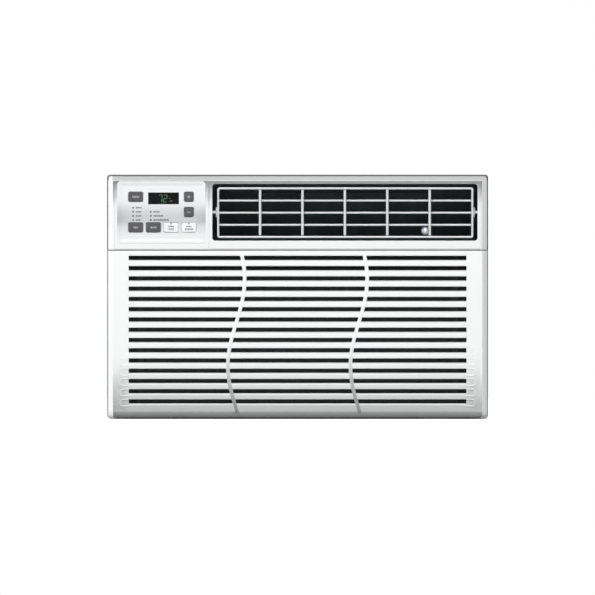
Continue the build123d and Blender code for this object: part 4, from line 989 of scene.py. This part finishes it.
class AirConditionerStage(bpy.types.PropertyGroup):
    """Camera and lights."""

    view_width: bpy.props.FloatProperty(
        name="View width", description="Width of the picture at the front of the unit", default=0.937,
        min=0.1, unit="LENGTH")
    view_height: bpy.props.FloatProperty(
        name="View height", description="Height of the camera above the floor", default=0.1916,
        min=0.0, unit="LENGTH")
    lens: bpy.props.FloatProperty(
        name="Lens", description="Focal length of the camera", default=800.0, unit="CAMERA")
    front_light: bpy.props.FloatProperty(
        name="Front light", description="Strength of the broad light beside the camera", default=150.0,
        min=0.0, unit="POWER")
    left_light: bpy.props.FloatProperty(
        name="Left light", description="Strength of the soft light at the left", default=40.0,
        min=0.0, unit="POWER")
    top_light: bpy.props.FloatProperty(
        name="Top light", description="Strength of the soft light above", default=4.0,
        min=0.0, unit="POWER")
    ambient: bpy.props.FloatProperty(
        name="Ambient", description="Strength of the light from all round", default=0.08, min=0.0, max=1.0,
        subtype="FACTOR")


class AirConditionerSettings(bpy.types.PropertyGroup):
    """All the settings of the unit."""

    colours: bpy.props.PointerProperty(
        name="Colours", description="Colours of the pieces", type=AirConditionerColours)
    sizes: bpy.props.PointerProperty(
        name="Sizes", description="Sizes of the pieces", type=AirConditionerSizes)
    stage: bpy.props.PointerProperty(
        name="Stage", description="Camera and lights", type=AirConditionerStage)


class AC_OT_make_finishes(bpy.types.Operator):
    """Makes the materials from the colours of the settings"""

    bl_idname = "ac.make_finishes"
    bl_label = "Finishes"

    def execute(self, context):
        FINISHES.update(finishes(context.scene.air_conditioner.colours))
        return {"FINISHED"}


class AC_OT_finish_frame(bpy.types.Operator):
    """Gives every CAD node that is shown its finish"""

    bl_idname = "ac.finish_frame"
    bl_label = "Finish the CAD nodes"

    def execute(self, context):
        for name, nodes in NODE_FINISH.items():
            for node in nodes:
                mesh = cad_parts[node].data
                mesh.materials.clear()
                mesh.materials.append(FINISHES[name])
        return {"FINISHED"}


class AC_OT_build_grille(bpy.types.Operator):
    """Builds the hinged intake grille"""

    bl_idname = "ac.build_grille"
    bl_label = "Intake grille"

    def execute(self, context):
        sizes = context.scene.air_conditioner.sizes
        face = grille_sheets(mm(sizes.slat_round), mm(sizes.loop_height))
        piece("grille_face", face, FINISHES["white_plastic"], "intake_grille",
              ["intake_grille"])
        places = (mm(sizes.rib_place), -mm(sizes.rib_place))
        ribs = [wavy_rib(place, mm(sizes.rib_width), mm(sizes.rib_reach)) for place in places]
        piece("grille_ribs", ribs, FINISHES["rib_plastic"], "intake_grille")
        return {"FINISHED"}


class AC_OT_build_fascia(bpy.types.Operator):
    """Builds the skin of the upper front"""

    bl_idname = "ac.build_fascia"
    bl_label = "Upper front"

    def execute(self, context):
        made = piece("fascia_skin", fascia_sheets(), FINISHES["upper_plastic"], "chassis")
        skin = made.modifiers.new("thickness", "SOLIDIFY")
        skin.thickness = 0.1 * MM
        skin.offset = -1.0
        return {"FINISHED"}


class AC_OT_build_controls(bpy.types.Operator):
    """Builds the control cover, its keys with their signs, the labels and the digits"""

    bl_idname = "ac.build_controls"
    bl_label = "Controls"

    def execute(self, context):
        sizes = context.scene.air_conditioner.sizes
        key_round = mm(sizes.key_round)
        cover = cover_sheets(key_round)
        piece("control_cover", cover, FINISHES["panel_plastic"], "chassis",
              ["control_panel"])
        piece("light_labels", label_sheets(), FINISHES["mark_dark"], "chassis")
        for name in KEYS:
            pale = name in PALE_KEYS
            slot = "white_key" if pale else "dark_key"
            ink = "mark_dark" if pale else "mark_light"
            body = f"button_{name}"
            piece(f"key_{name}", key_sheets(name, key_round), FINISHES[slot], body, [body])
            piece(f"sign_{name}", key_marks(name), FINISHES[ink], body)
        height = mm(sizes.digit_height)
        digits = digit(-219.3, 341.9, height, "abc") + digit(-211.6, 341.9, height, "abged")
        piece("display_digits", digits, FINISHES["segment"], "chassis")
        unit = dashes(-202.2, 347.6, (1.6,), 1.2, DISPLAY) + dashes(-201.0, 343.4, (3.6,), 1.4, DISPLAY)
        piece("display_unit", unit, FINISHES["segment_dim"], "chassis")
        return {"FINISHED"}


class AC_OT_build_louvre(bpy.types.Operator):
    """Builds the tilting louvre frame and the vane knob"""

    bl_idname = "ac.build_louvre"
    bl_label = "Louvre"

    def execute(self, context):
        sizes = context.scene.air_conditioner.sizes
        rim = louvre_sheets(mm(sizes.louvre_rim), mm(sizes.blade))
        piece("louvre_rim", rim, FINISHES["louvre_plastic"], "louvre_frame",
              ["louvre_frame"])
        knob = ball((201.18, -272.5, 297.0), mm(sizes.knob_radius))
        piece("knob_ball", knob, FINISHES["knob_silver"], "vane_5", ["vane_knob"])
        return {"FINISHED"}


class AC_OT_build_stage(bpy.types.Operator):
    """Builds the floor, the lights and the camera"""

    bl_idname = "ac.build_stage"
    bl_label = "Stage"

    def execute(self, context):
        scene = context.scene
        settings = scene.air_conditioner.stage
        scene.view_settings.view_transform = "Standard"
        mesh = bpy.data.meshes.new("floor")
        corners = np.array([(-6, -8, 0), (6, -8, 0), (6, 4, 0), (-6, 4, 0)], float)
        mesh.from_pydata(corners, [], [(0, 1, 2, 3)])
        mesh.materials.append(pale_floor())
        floor = bpy.data.objects.new("floor", mesh)
        scene.collection.objects.link(floor)
        lamps = [("front_light", settings.front_light, (-0.1, -3.6, 2.1), (1.8, 1.2)),
                 ("left_light", settings.left_light, (-3.0, -0.35, 0.5), (0.8, 1.6)),
                 ("top_light", settings.top_light, (0.0, -1.2, 2.6), (2.4, 1.2))]
        for name, power, place, size in lamps:
            light = bpy.data.lights.new(name, "AREA")
            light.shape = "RECTANGLE"
            light.size, light.size_y = size
            light.energy = power
            lamp = bpy.data.objects.new(name, light)
            lamp.location = place
            aim = np.array([0.0, -0.28, 0.2]) - np.array(place)
            lamp.rotation_euler = mathutils.Vector(aim).to_track_quat("-Z", "Y").to_euler()
            scene.collection.objects.link(lamp)
        scene.world = studio_world(settings.ambient)
        camera = bpy.data.cameras.new("camera")
        camera.lens = settings.lens
        distance = settings.view_width / camera.sensor_width * camera.lens
        viewer = bpy.data.objects.new("camera", camera)
        viewer.location = (-0.0001, FRONT * MM - distance, settings.view_height)
        viewer.rotation_euler = (np.pi / 2, 0, 0)
        scene.collection.objects.link(viewer)
        scene.camera = viewer
        return {"FINISHED"}


def seen_directly(made, mirrored=1.0):
    """1 for rays from the camera, a share for those that mirror or pass through, and 0 for spread light."""
    rays = ("Is Camera Ray", "Is Glossy Ray", "Is Transmission Ray")
    camera, glossy, through = (made.node("ShaderNodeLightPath", output=ray) for ray in rays)
    return (camera + (glossy + through) * mirrored).ramp(0.0, 1.0)


def pale_floor():
    """Floor that looks white to the camera and keeps the shadow, with a painted shadow under and just in
    front of the unit, and sends back little light.
    """
    made = Finish("pale_floor")
    # Painted shadow: no glow under the unit's footprint, neither in mirrors there nor to the camera up to a
    # little in front of it.
    under = abs(made.x).ramp(0.298, 0.288) * made.y.ramp(0.281, 0.270)
    mirrored = 1 - under * made.y.above(-0.281)
    seen = seen_directly(made, mirrored) * (1 - under * made.y.ramp(-0.268, -0.250))
    patch = made.noise(3.0, 3.0)
    away = (made.x * made.x + made.y * made.y).ramp(0.25, 1.2)
    shade = made.blend(seen, (0.25, 0.25, 0.25), (0.75, 0.75, 0.75))
    glow = made.blend(away, (0.78, 0.78, 0.78), (1.0, 1.0, 1.0))
    glow = made.blend(seen, (0.0, 0.0, 0.0), glow)
    return made.set(Base_Color=shade, Emission_Color=glow, Emission_Strength=1.0,
                    Roughness=patch.ramp(0.3, 0.7, 0.85, 0.95))


def studio_world(ambient):
    """White to the camera, and a dim even light to everything else."""
    world = bpy.data.worlds.new("studio")
    world.use_nodes = True
    made = Nodes(world.node_tree)
    ground = made.tree.nodes["Background"]
    made.put(ground.inputs["Color"], (1.0, 1.0, 1.0))
    made.put(ground.inputs["Strength"], seen_directly(made).ramp(0.0, 1.0, ambient, 1.0))
    return world


class AC_PT_looks(bpy.types.Panel):
    """Lists the steps that build the looks"""

    bl_idname = "AC_PT_looks"
    bl_label = "Air conditioner"
    bl_space_type = "VIEW_3D"
    bl_region_type = "UI"
    bl_category = "Air conditioner"

    def draw(self, context):
        for step in STEPS:
            self.layout.operator(step.bl_idname)
        settings = context.scene.air_conditioner
        for group in (settings.colours, settings.sizes, settings.stage):
            box = self.layout.box()
            for name in type(group).__annotations__:
                box.prop(group, name)


STEPS = [AC_OT_make_finishes, AC_OT_finish_frame, AC_OT_build_grille, AC_OT_build_fascia,
         AC_OT_build_controls, AC_OT_build_louvre, AC_OT_build_stage]
SETTINGS = [AirConditionerColours, AirConditionerSizes, AirConditionerStage, AirConditionerSettings]
CLASSES = [*SETTINGS, *STEPS, AC_PT_looks]
FINISHES = {}


def register():
    """Registers the settings, the steps and the panel."""
    for cls in CLASSES:
        bpy.utils.register_class(cls)
    bpy.types.Scene.air_conditioner = bpy.props.PointerProperty(type=AirConditionerSettings)


def unregister():
    """Takes out what register put in."""
    del bpy.types.Scene.air_conditioner
    for cls in reversed(CLASSES):
        bpy.utils.unregister_class(cls)


def main():
    """Builds everything in order."""
    register()
    bpy.ops.ac.make_finishes()
    bpy.ops.ac.finish_frame()
    bpy.ops.ac.build_grille()
    bpy.ops.ac.build_fascia()
    bpy.ops.ac.build_controls()
    bpy.ops.ac.build_louvre()
    bpy.ops.ac.build_stage()


if __name__ == "__main__":
    main()
